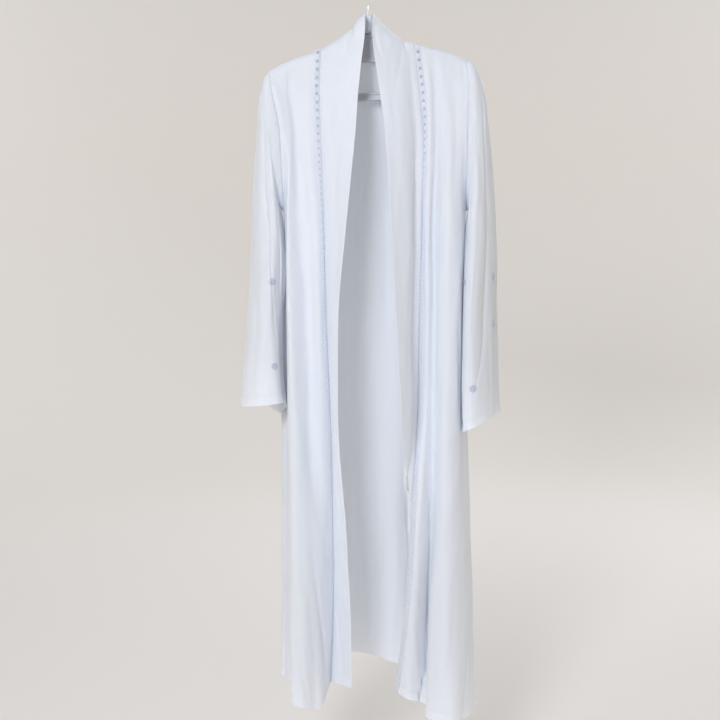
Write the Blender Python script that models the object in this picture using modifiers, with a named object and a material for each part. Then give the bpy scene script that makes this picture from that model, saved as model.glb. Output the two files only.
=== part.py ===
# Long open kaftan jacket hanging on a moulded hanger.
# Sizes in the tables are millimetres. X runs to the viewer's right, Y to the back and Z up, and
# the origin is the inside top of the hook. Right and left in names are the wearer's.
import math

import bmesh
import bpy
from mathutils import Vector
from mathutils.bvhtree import BVHTree

MM = 0.001

# Cloth and seams
WALL = 1.2
SHARP_ANGLE = 50
SEAM_GAP = 0.3
REST_GAP = 0.4
SHARPEST_MITRE = 0.62

# Heights of levels 1 to 7 of the fold tables. Level 0 is the hem, 8 the shoulder, and 9 the
# centre back of the neck.
LEVEL_HEIGHTS = (-1200, -1000, -800, -600, -400, -250, -170)
UNDERARM = 5
YOKE = 7
SHOULDER = 8
NECK_END = 9
# Levels of the rows of points, close together where the cloth rolls over the shoulder
ROWS = (0, 0.5, 1, 1.5, 2, 2.5, 3, 3.5, 4, 4.5, 5, 5.12, 5.4, 5.7, 6, 6.5, 7, 7.4, 7.7, 7.88, 7.955,
        7.988, 8)
COLUMNS_PER_FOLD = 2
COLUMNS_PER_BAND_HALF = 3
NECK_ROWS = 6

# Hanger: (distance from the middle, height) of the arms' top and underside
HANGER_TILT = 0.06
ARM_TOP = ((0, -52), (50, -62), (98, -80), (130, -88.5), (146, -92.8), (160, -97.6), (174, -103.6),
           (188, -110.6), (197.5, -116))
ARM_UNDERSIDE = ((0, -106), (50, -113), (98, -124), (130, -131), (160, -138), (185, -143), (193, -142),
                 (197.5, -138))
ARM_HALF_LENGTH = 190
ARM_SECTIONS = 16
ARM_SPACING = 0.9
FLANGE_HEIGHT = 6
FLANGE_SHARE = 0.38
ARM_CROWN = ((3, 0.9), (5, 2.4), (6, 4))
WEB_HALF = 2.5
BAR_HALF_LENGTH = 178
BAR_TOP = -167
BAR_UNDERSIDE = -182
BAR_HALF = 5.5
BAR_CROWN = ((4, 0.1), (5.5, 1.2))
BAR_FLANGE = 4
POST_LENGTH = 9
SOCKET_RADIUS = 7
SOCKET_HEIGHT = 4
SOCKET_STEPS = 24
HOOK_WIRE = 4
HOOK_INSIDE = 18
HOOK_START = -45
HOOK_END = 208
HOOK_STEM = 4
STEM_POINTS = 6
HOOK_POINTS = 22

# Shoulders and armholes
SHOULDER_ROLL = 10
SHOULDER_FALL = 1.3
NECK_X = 92
ARMHOLE_FRONT = 37
ARMHOLE_BACK = 34

# Fold lines of the fronts from the band seam to the side seam. Columns: the place where the line
# meets the shoulder, the hem's (x, y, z), then (x, y) at levels 1 to 7.
RIGHT_FRONT = {
    "band_seam": (-92, (-77, -22, -1378), (-70, -30), (-70, -38), (-74, -45), (-82, -44), (-87, -38),
                  (-92, -28), (-95, -20)),
    "inner_ridge": (-115, (-92, -76, -1408), (-88, -60), (-87, -54), (-92, -58), (-97, -58),
                    (-104, -50), (-117, -34), (-117, -23)),
    "trough": (-150, (-108, -92, -1409), (-105, -83), (-105, -66), (-116, -50), (-117, -42),
               (-131, -36), (-140, -26), (-150, -18)),
    "outer_ridge": (-161, (-129, -115, -1396), (-131, -102), (-135, -88), (-143, -74), (-151, -66),
                    (-155, -54), (-151, -36), (-161, -21)),
    "corner": (-175, (-152, -104, -1388), (-154, -92), (-156, -76), (-159, -62), (-160, -56),
               (-159, -46), (-160, -39), (-171, -24)),
    "side_trough": (-186, (-150, -38, -1382), (-150, -34), (-152, -30), (-156, -26), (-161, -24),
                    (-162.5, -29), (-167, -39), (-179, -27)),
    "side_seam": (-195, (-172, 10, -1380), (-168, 9), (-166, 8), (-163, 5), (-165, 3), (-168, 0),
                  (-173, -37), (-186.5, -26)),
}
LEFT_FRONT = {
    "band_seam": (92, (58, -72, -1376), (75, -96), (89, -84), (102, -42), (105, -38), (111, -32),
                  (112, -26), (105, -21)),
    "inner_ridge": (112, (83, -94, -1386), (97, -102), (106, -92), (116, -60), (119, -56), (120, -48),
                    (124, -37), (124, -26)),
    "valley": (124, (121, -82, -1403), (127, -70), (132, -60), (132, -52), (134, -46), (134, -38),
               (136, -28), (134, -20)),
    "ridge_turn": (137, (121, -124, -1411), (128, -104), (139, -84), (143, -68), (144, -62), (147, -52),
                   (147, -36), (147, -24)),
    "big_ridge": (155, (169, -146, -1415), (161, -122), (159, -98), (160, -78), (161, -70), (162, -60),
                  (162, -42), (163, -26)),
    "corner": (178, (203, -105, -1418), (197, -88), (187, -74), (182, -62), (182, -56), (184, -46),
               (182, -39), (185, -28)),
    "side_wall": (188, (224, -48, -1416), (216, -38), (205, -30), (194, -26), (193, -24), (192.5, -29),
                  (189.5, -38), (192.5, -28)),
    "side_seam": (196, (228, 2, -1410), (222, 5), (213, 8), (201, 8), (198, 4), (198, 0), (197.5, -37),
                  (198, -27)),
}

# Fold lines of the back between the side seams, from the viewer's left to right, same columns
BACK = {
    "right_corner": (-188, (-181, 30, -1378), (-179, 32), (-178, 32), (-176, 30), (-173, 28),
                     (-162, 28), (-164, 35), (-179.5, 26.5)),
    "ridge_1": (-150, (-128, 64, -1364), (-128, 58), (-127, 52), (-126, 47), (-126, 43), (-128, 40),
                (-140, 36), (-146, 27)),
    "trough_1": (-100, (-78, 44, -1357), (-78, 44), (-78, 42), (-78, 38), (-78, 36), (-80, 35),
                 (-90, 32), (-98, 25)),
    "ridge_2": (-34, (-28, 75, -1352), (-28, 68), (-28, 60), (-28, 52), (-28, 46), (-28, 41), (-30, 36),
                (-34, 26)),
    "middle": (22, (22, 62, -1358), (22, 58), (22, 52), (22, 47), (22, 43), (22, 39), (22, 34), (22, 25)),
    "trough_2": (66, (68, 46, -1368), (68, 46), (68, 44), (68, 41), (67, 39), (66, 37), (66, 33),
                 (64, 24)),
    "ridge_3": (114, (120, 72, -1380), (118, 64), (116, 56), (112, 50), (112, 46), (111, 42), (112, 37),
                (112, 27)),
    "trough_3": (160, (172, 48, -1396), (169, 46), (166, 44), (162, 42), (160, 38), (158, 36),
                 (158, 35), (158, 27)),
    "left_corner": (190, (219, 36, -1406), (216, 36), (212, 34), (206, 32), (204, 28), (195, 28),
                    (189, 35), (189.5, 26.5)),
}

# Middle line and free edge of the front bands: the hem, then levels 1 to 7
RIGHT_BAND = {
    "middle": ((-50, -64, -1368), (-48, -71), (-53, -83), (-62, -92), (-66, -88), (-58, -82),
               (-54, -65), (-55, -49)),
    "edge": ((-31, -100, -1360), (-34, -110), (-44, -122), (-57, -133), (-56, -130), (-38, -118),
             (-24, -95), (-18, -70)),
}
LEFT_BAND = {
    "middle": ((77, -36, -1374), (86, -56), (80, -86), (88, -88), (83, -84), (82, -76), (79, -60),
               (71, -46)),
    "edge": ((86, 2, -1372), (93, -14), (74, -60), (67, -130), (55, -125), (44, -110), (34, -85),
             (24, -62)),
}
# Free edge of the bands above the yoke, up the front and round the hook: (level, x, y, z)
RIGHT_COLLAR = ((7, -18, -70, -170), (7.35, -11, -60, -110), (7.65, -5.5, -48, -62), (7.88, -5.5, -30, -22),
                (8, -5.5, 0, -12), (8.4, -5.5, 26, -10), (8.75, -3.5, 43, -9), (9, 2, 50, -8))
LEFT_COLLAR = ((7, 24, -62, -170), (7.35, 15, -56, -112), (7.65, 10.5, -46, -71), (7.88, 9.5, -30, -26),
               (8, 10, 0, -14), (8.4, 10, 26, -10), (8.75, 7, 43, -10), (9, 2, 50, -8))
RIGHT_COLLAR_SAG = 8
LEFT_COLLAR_SAG = 9
# Neckline from the shoulder to the centre back, behind the hanger: (level, x, y, z)
RIGHT_NECKLINE = ((8.12, -90.5, 6, -82), (8.3, -83, 13, -87.5), (8.55, -62, 15, -97), (8.8, -30, 15, -103),
                  (9, 0, 14.5, -105))
LEFT_NECKLINE = ((8.12, 90.5, 6, -71), (8.3, 83, 13, -79), (8.55, 62, 15, -93), (8.8, 30, 15, -102),
                 (9, 0, 14.5, -105))

# Sleeve rings below the armhole. Columns: outer line (x, z), inner line (x, z), depth to the
# front and to the back, lean of the ring's back away from the body, drop of its back.
RIGHT_SLEEVE = (
    ((-202.5, -136), (-177, -394), 41, 38, 0.02, 0.0),
    ((-208, -152), (-178, -402), 43, 39, 0.05, 0.0),
    ((-215.5, -184), (-175, -426), 45, 39, 0.12, 0.0),
    ((-220, -240), (-172.5, -462), 48, 40, 0.22, 0.0),
    ((-225, -310), (-172.5, -500), 51, 42, 0.30, 0.0),
    ((-229, -385), (-174, -545), 53, 44, 0.30, 0.0),
    ((-232.5, -460), (-176, -590), 55, 46, 0.25, 0.0),
    ((-237, -540), (-176.5, -638), 58, 48, 0.22, 0.01),
    ((-243, -620), (-176.5, -685), 62, 51, 0.20, 0.03),
    ((-249, -690), (-175, -725), 65, 54, 0.20, 0.05),
    ((-254.5, -745), (-172, -757), 68, 57, 0.20, 0.07),
    ((-258.5, -796), (-169, -786), 72, 60, 0.20, 0.10),
)
LEFT_SLEEVE = (
    ((206, -105.5), (207.5, -394), 41, 38, 0.02, 0.0),
    ((215, -117), (208.5, -402), 44, 38, 0.05, 0.0),
    ((224, -140), (205, -428), 48, 37, 0.15, 0.0),
    ((236, -184), (202.5, -470), 52, 33, 0.26, 0.0),
    ((244, -262), (201.5, -515), 58, 32, 0.33, 0.0),
    ((250, -345), (200, -560), 64, 32, 0.38, 0.0),
    ((254, -425), (199.5, -605), 70, 32, 0.41, 0.0),
    ((256, -505), (199.5, -650), 74, 33, 0.44, 0.0),
    ((256, -585), (199.5, -695), 76, 35, 0.45, 0.0),
    ((258, -660), (200, -744), 78, 38, 0.45, -0.02),
    ((262, -736), (202, -795), 80, 42, 0.45, -0.05),
    ((266, -808), (205, -838), 84, 46, 0.45, -0.10),
)
EVEN_RING = 4
# Sleeve folds. Columns: angle round the ring (0 outer line, 90 front, 180 inner line), width in
# degrees, depth, first ring, last ring.
RIGHT_SLEEVE_FOLDS = ((60, 22, -4.0, 2, 7), (118, 22, -5.0, 5, 9), (92, 20, 3.0, 4, 10),
                      (250, 28, -4.0, 3, 9))
LEFT_SLEEVE_FOLDS = ((42, 26, -5.0, 5, 10), (78, 22, 3.0, 4, 11), (255, 30, -4.0, 3, 9),
                     (305, 24, 3.0, 4, 11))
# Where the sleeves hang lower at the cuff, same columns with the drop as a negative depth
RIGHT_CUFF_DROPS = ((212, 36, -26.0, 8, 16),)
LEFT_CUFF_DROPS = ()

# Trims beside the band seams
TRIM_START = 1.2
TRIM_WIDTH = 9
TRIM_THICK = 1.2
TRIM_LIFT = 0.5
TRIM_STEPS = 3
TRIM_COLUMNS = 3
TRIM_PROBE = 6

# Round motifs on the sleeves: (ring, angle)
MOTIF_RADIUS = 8
MOTIF_PETALS = 6
POINTS_PER_PETAL = 4
MOTIF_NOTCH = 0.84
MOTIF_THICK = 1.2
PROBE_HEIGHT = 20
RIGHT_MOTIFS = ((7.1, 98), (9.9, 116), (6.0, 300), (8.9, 304), (7.6, 258), (10.3, 248))
LEFT_MOTIFS = ((6.4, 130), (8.3, 8), (9.5, 7), (10.8, 80), (6.4, 256), (7.8, 296), (9.9, 250))

# Colour, roughness and metallic value of each material
FINISHES = {
    "cloth": ((0.84, 0.88, 0.94), 0.62, 0.0),
    "braid": ((0.80, 0.82, 0.87), 0.50, 0.0),
    "motif": ((0.62, 0.62, 0.72), 0.55, 0.0),
    "plastic": ((0.60, 0.61, 0.62), 0.42, 0.0),
    "steel": ((0.62, 0.62, 0.63), 0.28, 1.0),
}


def clear_scene():
    for old in list(bpy.data.objects):
        bpy.data.objects.remove(old, do_unlink=True)


def make_material(name):
    colour, roughness, metallic = FINISHES[name]
    material = bpy.data.materials.new(name)
    material.use_nodes = True
    shader = material.node_tree.nodes["Principled BSDF"]
    shader.inputs["Base Color"].default_value = (*colour, 1)
    shader.inputs["Roughness"].default_value = roughness
    shader.inputs["Metallic"].default_value = metallic
    return material


def smooth_through(points, at):
    """Value of a smooth curve through (parameter, value) pairs; a value is a number or vector."""
    last = len(points) - 1
    i = 0
    while i < last - 1 and at > points[i + 1][0]:
        i += 1
    start, first = points[i]
    end, second = points[i + 1]
    span = end - start

    def slope(j):
        low = max(j - 1, 0)
        high = min(j + 1, last)
        return (points[high][1] - points[low][1]) / (points[high][0] - points[low][0])

    u = (at - start) / span
    rise = u * u * (3 - 2 * u)
    lead = u * (1 - u) * (1 - u) * span
    trail = u * u * (u - 1) * span
    return first * (1 - rise) + second * rise + slope(i) * lead + slope(i + 1) * trail


def across(lines, at):
    """Point of a row's smooth curve through its fold lines; at counts the lines."""
    return smooth_through(list(enumerate(lines)), at)


def arm_top(x):
    return smooth_through(ARM_TOP, abs(x)) + x * HANGER_TILT


def arm_underside(x):
    return smooth_through(ARM_UNDERSIDE, abs(x)) + x * HANGER_TILT


def shoulder_point(x):
    return Vector((x, 0, arm_top(x) + WALL / 2 + REST_GAP))


def fold_line(hem, places):
    """Control points of a fold line from its hem to the yoke."""
    line = [(0, Vector(hem))]
    for height, (level, place) in zip(LEVEL_HEIGHTS, enumerate(places, start=1)):
        line.append((level, Vector((*place, height))))
    return line


def over_shoulder(yoke, top, share, side):
    """Point between the yoke and the top edge, rolling over the hanger's arm."""
    point = yoke.lerp(top, share)
    whole = top.z - yoke.z
    below = top.z - point.z
    start = abs(top.y)
    lift = 1 - min(below / SHOULDER_ROLL, 1)
    reach = max(0.0, SHOULDER_ROLL - start)
    rest = abs(yoke.y) - start - reach
    depth = start + reach * math.sqrt(1 - lift * lift) + rest * (below / whole) ** SHOULDER_FALL
    point.y = side * depth
    return point


def panel_point(columns, level, side):
    """Point of one fold line of a front (side -1) or of the back (side 1)."""
    top_x, hem, *places = columns
    line = fold_line(hem, places)
    if level <= YOKE:
        return smooth_through(line, level)
    return over_shoulder(line[-1][1], shoulder_point(top_x), level - YOKE, side)


def armhole_point(columns, level, side):
    """Point of the armhole, an upright ellipse between the underarm and the shoulder tip."""
    top_x, hem, *places = columns
    line = fold_line(hem, places)
    tip = shoulder_point(top_x)
    if level <= YOKE:
        point = smooth_through(line, level)
    else:
        point = line[-1][1].lerp(tip, level - YOKE)
    under = LEVEL_HEIGHTS[UNDERARM - 1]
    share = (2 * point.z - tip.z - under) / (tip.z - under)
    depth = ARMHOLE_FRONT if side < 0 else ARMHOLE_BACK
    point.y = side * depth * math.sqrt(max(0.0, 1 - share * share))
    return point


def side_point(columns, level, side):
    if level < UNDERARM:
        return panel_point(columns, level, side)
    return armhole_point(columns, level, side)


def front_sheet(panel):
    """Rows of a front from the hem to the shoulder, each from the band seam to the side."""
    *inner, side_columns = panel.values()
    count = len(inner) * COLUMNS_PER_FOLD
    sheet = []
    for level in ROWS:
        lines = [panel_point(columns, level, -1) for columns in inner]
        lines.append(side_point(side_columns, level, -1))
        sheet.append([across(lines, c / COLUMNS_PER_FOLD) for c in range(count + 1)])
    sheet[-1] = [shoulder_point(point.x) for point in sheet[-1]]
    return sheet


def neck_levels():
    return [SHOULDER + (i + 1) / NECK_ROWS for i in range(NECK_ROWS)]


def neckline_point(table, side, level):
    line = [(SHOULDER, shoulder_point(side * NECK_X))]
    line += [(at, Vector(place)) for at, *place in table]
    return smooth_through(line, level)


def band_sheet(front, band, collar, neckline, side, sag):
    """Rows of a band from the hem over the shoulder to the centre back, seam to free edge."""
    middle = fold_line(band["middle"][0], band["middle"][1:])
    edge = fold_line(band["edge"][0], band["edge"][1:])
    collar_edge = [(at, Vector(place)) for at, *place in collar]
    bow = middle[-1][1] - (front[ROWS.index(YOKE)][0] + edge[-1][1]) / 2
    rows = []
    for level in list(ROWS) + neck_levels():
        if level <= SHOULDER:
            seam = front[ROWS.index(level)][0]
        else:
            seam = neckline_point(neckline, side, level)
        if level <= YOKE:
            lines = (seam, smooth_through(middle, level), smooth_through(edge, level))
        else:
            free = smooth_through(collar_edge, level)
            share = level - YOKE if level < SHOULDER else NECK_END - level
            half = (seam + free) / 2 + bow * max(0, SHOULDER - level)
            half.z -= sag * share
            lines = (seam, half, free)
        count = 2 * COLUMNS_PER_BAND_HALF
        rows.append([across(lines, c / COLUMNS_PER_BAND_HALF) for c in range(count + 1)])
    return rows


def back_sheet(right_front, left_front):
    """Rows of the back, each from the wearer's right side to the left; its top edge follows both
    shoulders and the neckline."""
    right_side = RIGHT_FRONT["side_seam"]
    left_side = LEFT_FRONT["side_seam"]
    places = [right_side[0]] + [columns[0] for columns in BACK.values()] + [left_side[0]]
    top = list(reversed(right_front[-1]))
    top += [neckline_point(RIGHT_NECKLINE, -1, level) for level in neck_levels()]
    top += [neckline_point(LEFT_NECKLINE, 1, level) for level in reversed(neck_levels()[:-1])]
    top += left_front[-1]
    shares = [place_between(places, point.x) for point in top]
    sheet = []
    for level in ROWS:
        at = min(level, YOKE)
        lines = [side_point(right_side, at, 1)]
        lines += [panel_point(columns, at, 1) for columns in BACK.values()]
        lines.append(side_point(left_side, at, 1))
        row = [across(lines, share) for share in shares]
        if level > YOKE:
            row = [over_shoulder(low, high, level - YOKE, 1) for low, high in zip(row, top)]
            row[0] = side_point(right_side, level, 1)
            row[-1] = side_point(left_side, level, 1)
        sheet.append(row)
    sheet[-1] = top
    for level, row, right_row, left_row in zip(ROWS, sheet, right_front, left_front):
        if level <= UNDERARM:
            row[0] = right_row[-1]
            row[-1] = left_row[-1]
    return sheet


def place_between(places, x):
    """Where x lies among rising places, counted in places."""
    i = 0
    while i < len(places) - 2 and x > places[i + 1]:
        i += 1
    share = (x - places[i]) / (places[i + 1] - places[i])
    return i + min(max(share, 0), 1)


def fold_height(folds, ring, angle):
    """How far the sleeve's folds or drops move a point, at a ring and an angle."""
    height = 0
    for centre, width, depth, first, last in folds:
        if first < ring < last:
            fade = math.sin(math.pi * (ring - first) / (last - first))
            turn = (angle - centre + 180) % 360 - 180
            height += depth * fade * math.exp(-((turn / width) ** 2))
    return height


def sleeve_sheet(front, back_side, rings, folds, drops, side):
    """Rings of a sleeve from the armhole to the cuff; each starts at the outer line."""
    under = ROWS.index(UNDERARM)
    armhole = [row[-1] for row in reversed(front[under:])]
    armhole += back_side[under + 1:-1]
    count = len(armhole)
    tip = armhole[0]
    low = armhole[count // 2]
    angles = []
    for i, point in enumerate(armhole):
        share = (2 * point.z - tip.z - low.z) / (tip.z - low.z)
        angle = math.degrees(math.acos(max(-1, min(1, share))))
        angles.append(angle if i <= count // 2 else 360 - angle)
    sheet = [armhole]
    for number, (outer, inner, front_depth, back_depth, lean, drop) in enumerate(rings, start=1):
        evenness = min(1, (number - 1) / EVEN_RING)
        half = Vector((outer[0] - inner[0], 0, outer[1] - inner[1])) / 2
        middle = Vector((outer[0] + inner[0], back_depth - front_depth, outer[1] + inner[1])) / 2
        deep = (front_depth + back_depth) / 2
        ring = []
        for i, start_angle in enumerate(angles):
            angle = start_angle + (360 * i / count - start_angle) * evenness
            turn = math.radians(angle)
            out = fold_height(folds, number, angle)
            point = middle + half * math.cos(turn) * (1 + out / half.length)
            away = -(deep + out) * math.sin(turn)
            point += Vector((side * lean * away, away, fold_height(drops, number, angle) - drop * away))
            ring.append(point)
        sheet.append(ring)
    return sheet


def key(point):
    return tuple(round(value, 4) for value in point)


def quads(sheet, closed):
    """Corner places of the quads of a sheet."""
    columns = len(sheet[0])
    for r in range(len(sheet) - 1):
        for c in range(columns if closed else columns - 1):
            after = (c + 1) % columns
            yield (r, c), (r + 1, c), (r + 1, after), (r, after)


def shared_normals(pieces):
    """Outward offset at each point, shared by the pieces that meet there, for mitred seams."""
    faces = {}
    for sheet, turn, closed in pieces:
        for corners in quads(sheet, closed):
            a, b, c, d = (sheet[row][column] for row, column in corners)
            normal = (c - a).cross(d - b).normalized() * turn
            for corner in (a, b, c, d):
                faces.setdefault(key(corner), []).append(normal)
    offsets = {}
    for place, normals in faces.items():
        mean = sum(normals, Vector()).normalized()
        closeness = sum(mean.dot(normal) for normal in normals) / len(normals)
        offsets[place] = mean / max(closeness, SHARPEST_MITRE)
    return offsets


def inset_sheet(sheet, closed):
    """The sheet with each edge moved in by half of a seam gap."""
    rows = len(sheet)
    columns = len(sheet[0])
    moved = [[point.copy() for point in row] for row in sheet]
    for r in range(rows):
        for c in range(columns):
            steps = []
            if r in (0, rows - 1):
                inward = sheet[1][c] if r == 0 else sheet[-2][c]
                along = sheet[r][(c + 1) % columns if closed else min(c + 1, columns - 1)]
                along = along - sheet[r][(c - 1) % columns if closed else max(c - 1, 0)]
                steps.append((inward - sheet[r][c], along))
            if not closed and c in (0, columns - 1):
                inward = sheet[r][1] if c == 0 else sheet[r][-2]
                along = sheet[min(r + 1, rows - 1)][c] - sheet[max(r - 1, 0)][c]
                steps.append((inward - sheet[r][c], along))
            for inward, along in steps:
                along.normalize()
                square = inward - along * inward.dot(along)
                moved[r][c] += square.normalized() * SEAM_GAP / 2
    return moved


def add_object(name, mesh_data, material, collection):
    mesh = bpy.data.meshes.new(name)
    mesh_data.to_mesh(mesh)
    mesh_data.free()
    mesh.materials.append(material)
    made = bpy.data.objects.new(name, mesh)
    collection.objects.link(made)
    return made


def wall(name, lower, upper, closed, material, collection):
    """Closed wall between two sheets of the same size, each quad split the same way on both."""
    shape = bmesh.new()
    low = [[shape.verts.new(point * MM) for point in row] for row in lower]
    high = [[shape.verts.new(point * MM) for point in row] for row in upper]
    for corners in quads(lower, closed):
        for layer, step in ((low, -1), (high, 1)):
            a, b, c, d = (layer[row][column] for row, column in corners)
            shape.faces.new((a, b, c)[::step])
            shape.faces.new((a, c, d)[::step])
    for edge in rims(len(lower), len(lower[0]), closed):
        for (r0, c0), (r1, c1) in edge:
            shape.faces.new((low[r0][c0], low[r1][c1], high[r1][c1], high[r0][c0]))
    bmesh.ops.recalc_face_normals(shape, faces=shape.faces)
    made = add_object(name, shape, material, collection)
    made.data.shade_smooth()
    made.data.set_sharp_from_angle(angle=math.radians(SHARP_ANGLE))
    return made


def rims(rows, columns, closed):
    """Edges that bound a sheet, as pairs of places."""
    loop = range(columns if closed else columns - 1)
    yield [((0, c), (0, (c + 1) % columns)) for c in loop]
    yield [((rows - 1, c), (rows - 1, (c + 1) % columns)) for c in loop]
    if not closed:
        yield [((r, 0), (r + 1, 0)) for r in range(rows - 1)]
        yield [((r, columns - 1), (r + 1, columns - 1)) for r in range(rows - 1)]


def cloth_wall(name, sheet, closed, offsets, material, collection):
    inner = inset_sheet(sheet, closed)
    outer = [list(row) for row in inner]
    for r, row in enumerate(sheet):
        for c, point in enumerate(row):
            half = offsets[key(point)] * WALL / 2
            outer[r][c] = inner[r][c] + half
            inner[r][c] = inner[r][c] - half
    return wall(name, inner, outer, closed, material, collection)


def along_row(row, offsets, distance):
    """Point and offset at a distance from the row's first point, along its chords."""
    for start, end in zip(row, row[1:]):
        step = (end - start).length
        if distance <= step:
            share = distance / step
            return start.lerp(end, share), offsets[key(start)].lerp(offsets[key(end)], share)
        distance -= step
    raise ValueError("the trim is wider than its panel")


def cloth_surface(piece):
    """Search tree over a wall's faces, in millimetres."""
    return BVHTree.FromPolygons([v.co / MM for v in piece.data.vertices],
                                [tuple(face.vertices) for face in piece.data.polygons])


def trim(name, piece, front, offsets, material, collection):
    """Braid strip on a front, just beside the band seam, from the hem to the shoulder."""
    surface = cloth_surface(piece)
    guides = []
    for row in front[:-1]:
        steps = [TRIM_START + TRIM_WIDTH * c / TRIM_COLUMNS for c in range(TRIM_COLUMNS + 1)]
        guides.append([along_row(row, offsets, distance) for distance in steps])
    lower = []
    upper = []
    for first, second in zip(guides, guides[1:]):
        for step in range(TRIM_STEPS):
            lower.append([])
            upper.append([])
            for (start, start_out), (end, end_out) in zip(first, second):
                share = step / TRIM_STEPS
                out = start_out.lerp(end_out, share)
                point = start.lerp(end, share) + out * TRIM_PROBE
                below = point - out * (TRIM_PROBE - WALL / 2)
                seat = surface.ray_cast(point, -out, 2 * TRIM_PROBE)[0] or below
                lower[-1].append(seat + out * TRIM_LIFT)
                upper[-1].append(seat + out * (TRIM_LIFT + TRIM_THICK))
    wall(name, lower, upper, False, material, collection)


def ring_point(sheet, offsets, ring, angle):
    """Point and outward direction on a sleeve at a ring and an angle, both fractional."""
    count = len(sheet[0])
    column = angle / 360 * count
    r = int(ring)
    c = int(column)
    corners = []
    for row in (sheet[r], sheet[r + 1]):
        start = row[c % count]
        end = row[(c + 1) % count]
        share = column - c
        corners.append((start.lerp(end, share), offsets[key(start)].lerp(offsets[key(end)], share)))
    (low, low_out), (high, high_out) = corners
    return low.lerp(high, ring - r), low_out.lerp(high_out, ring - r).normalized()


def motif(name, sleeve, sheet, offsets, place, material, collection):
    """Flat rosette seated on the highest point of the cloth under it."""
    centre, out = ring_point(sheet, offsets, *place)
    up = (Vector((0, 0, 1)) - out * out.z).normalized()
    right = up.cross(out)
    points = MOTIF_PETALS * POINTS_PER_PETAL
    outline = []
    for i in range(points):
        turn = 2 * math.pi * i / points
        petal = abs(math.sin(turn * MOTIF_PETALS / 2))
        radius = MOTIF_RADIUS * (MOTIF_NOTCH + (1 - MOTIF_NOTCH) * petal)
        outline.append((right * math.cos(turn) + up * math.sin(turn)) * radius)
    surface = cloth_surface(sleeve)
    heights = []
    for spot in [Vector()] + outline + [point / 2 for point in outline]:
        hit = surface.ray_cast(centre + spot + out * PROBE_HEIGHT, -out)
        if hit[0]:
            heights.append((hit[0] - centre).dot(out))
    seat = centre + out * (max(heights) + SEAM_GAP)
    shape = bmesh.new()
    low = [shape.verts.new((seat + point) * MM) for point in outline]
    high = [shape.verts.new((seat + point + out * MOTIF_THICK) * MM) for point in outline]
    shape.faces.new(low[::-1])
    shape.faces.new(high)
    for i in range(points):
        after = (i + 1) % points
        shape.faces.new((low[i], low[after], high[after], high[i]))
    bmesh.ops.recalc_face_normals(shape, faces=shape.faces)
    add_object(name, shape, material, collection)


def flanged_loft(name, stations, crown, web, flange, material, collection):
    """Beam with a flange along its top and underside; a station is (x, top, underside) and the
    crown is (half width, drop) from the middle of the top out."""
    shape = bmesh.new()
    rings = []
    for x, top, under in stations:
        lip = min(flange, (top - under) * FLANGE_SHARE)
        half = crown[-1][0]
        side = [(y, top - drop * lip / flange) for y, drop in crown]
        side += [(half, top - lip), (web, top - lip), (web, under + lip), (half, under + lip), (half, under)]
        outline = [(0, top)] + side + [(-y, z) for y, z in reversed(side)]
        rings.append([shape.verts.new(Vector((x, y, z)) * MM) for y, z in outline])
    for first, second in zip(rings, rings[1:]):
        for i in range(len(first)):
            after = (i + 1) % len(first)
            shape.faces.new((first[i], second[i], second[after], first[after]))
    shape.faces.new(rings[0])
    shape.faces.new(rings[-1][::-1])
    bmesh.ops.recalc_face_normals(shape, faces=shape.faces)
    return add_object(name, shape, material, collection)


def hanger_body(material, collection):
    stations = []
    for i in range(-ARM_SECTIONS, ARM_SECTIONS + 1):
        share = i / ARM_SECTIONS
        x = ARM_HALF_LENGTH * math.copysign(abs(share) ** ARM_SPACING, share)
        stations.append((x, arm_top(x), arm_underside(x)))
    flanged_loft("hanger_body", stations, ARM_CROWN, WEB_HALF, FLANGE_HEIGHT, material, collection)


def hanger_bar(material, collection):
    stations = []
    for x in (-BAR_HALF_LENGTH, BAR_HALF_LENGTH):
        stations.append((x, BAR_TOP + x * HANGER_TILT, BAR_UNDERSIDE + x * HANGER_TILT))
    flanged_loft("hanger_bar", stations, BAR_CROWN, WEB_HALF, BAR_FLANGE, material, collection)


def hanger_post(name, side, material, collection):
    """Short upright that joins the bar's end to the arm."""
    shape = bmesh.new()
    bmesh.ops.create_cube(shape, size=1)
    ends = (BAR_HALF_LENGTH - POST_LENGTH, BAR_HALF_LENGTH)
    for vert in shape.verts:
        x = side * ends[vert.co.x > 0]
        y = BAR_HALF * (1 if vert.co.y > 0 else -1)
        low = BAR_TOP + x * HANGER_TILT + SEAM_GAP
        high = arm_underside(x) - SEAM_GAP
        vert.co = Vector((x, y, high if vert.co.z > 0 else low)) * MM
    bmesh.ops.recalc_face_normals(shape, faces=shape.faces)
    add_object(name, shape, material, collection)


def hanger_socket(material, collection):
    """Turned collar on the hanger's middle that takes the hook's stem."""
    low = arm_top(0) + SEAM_GAP
    high = low + SOCKET_HEIGHT
    bore = HOOK_WIRE / 2 + SEAM_GAP
    profile = ((bore, high), (SOCKET_RADIUS, high), (SOCKET_RADIUS, low), (bore, low))
    shape = bmesh.new()
    corners = [shape.verts.new(Vector((radius, 0, z)) * MM) for radius, z in profile]
    for i, corner in enumerate(corners):
        shape.edges.new((corner, corners[(i + 1) % len(corners)]))
    made = add_object("hanger_socket", shape, material, collection)
    turn = made.modifiers.new("Screw", "SCREW")
    turn.steps = SOCKET_STEPS
    turn.render_steps = SOCKET_STEPS
    turn.use_merge_vertices = True
    turn.merge_threshold = 0.0001


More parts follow.
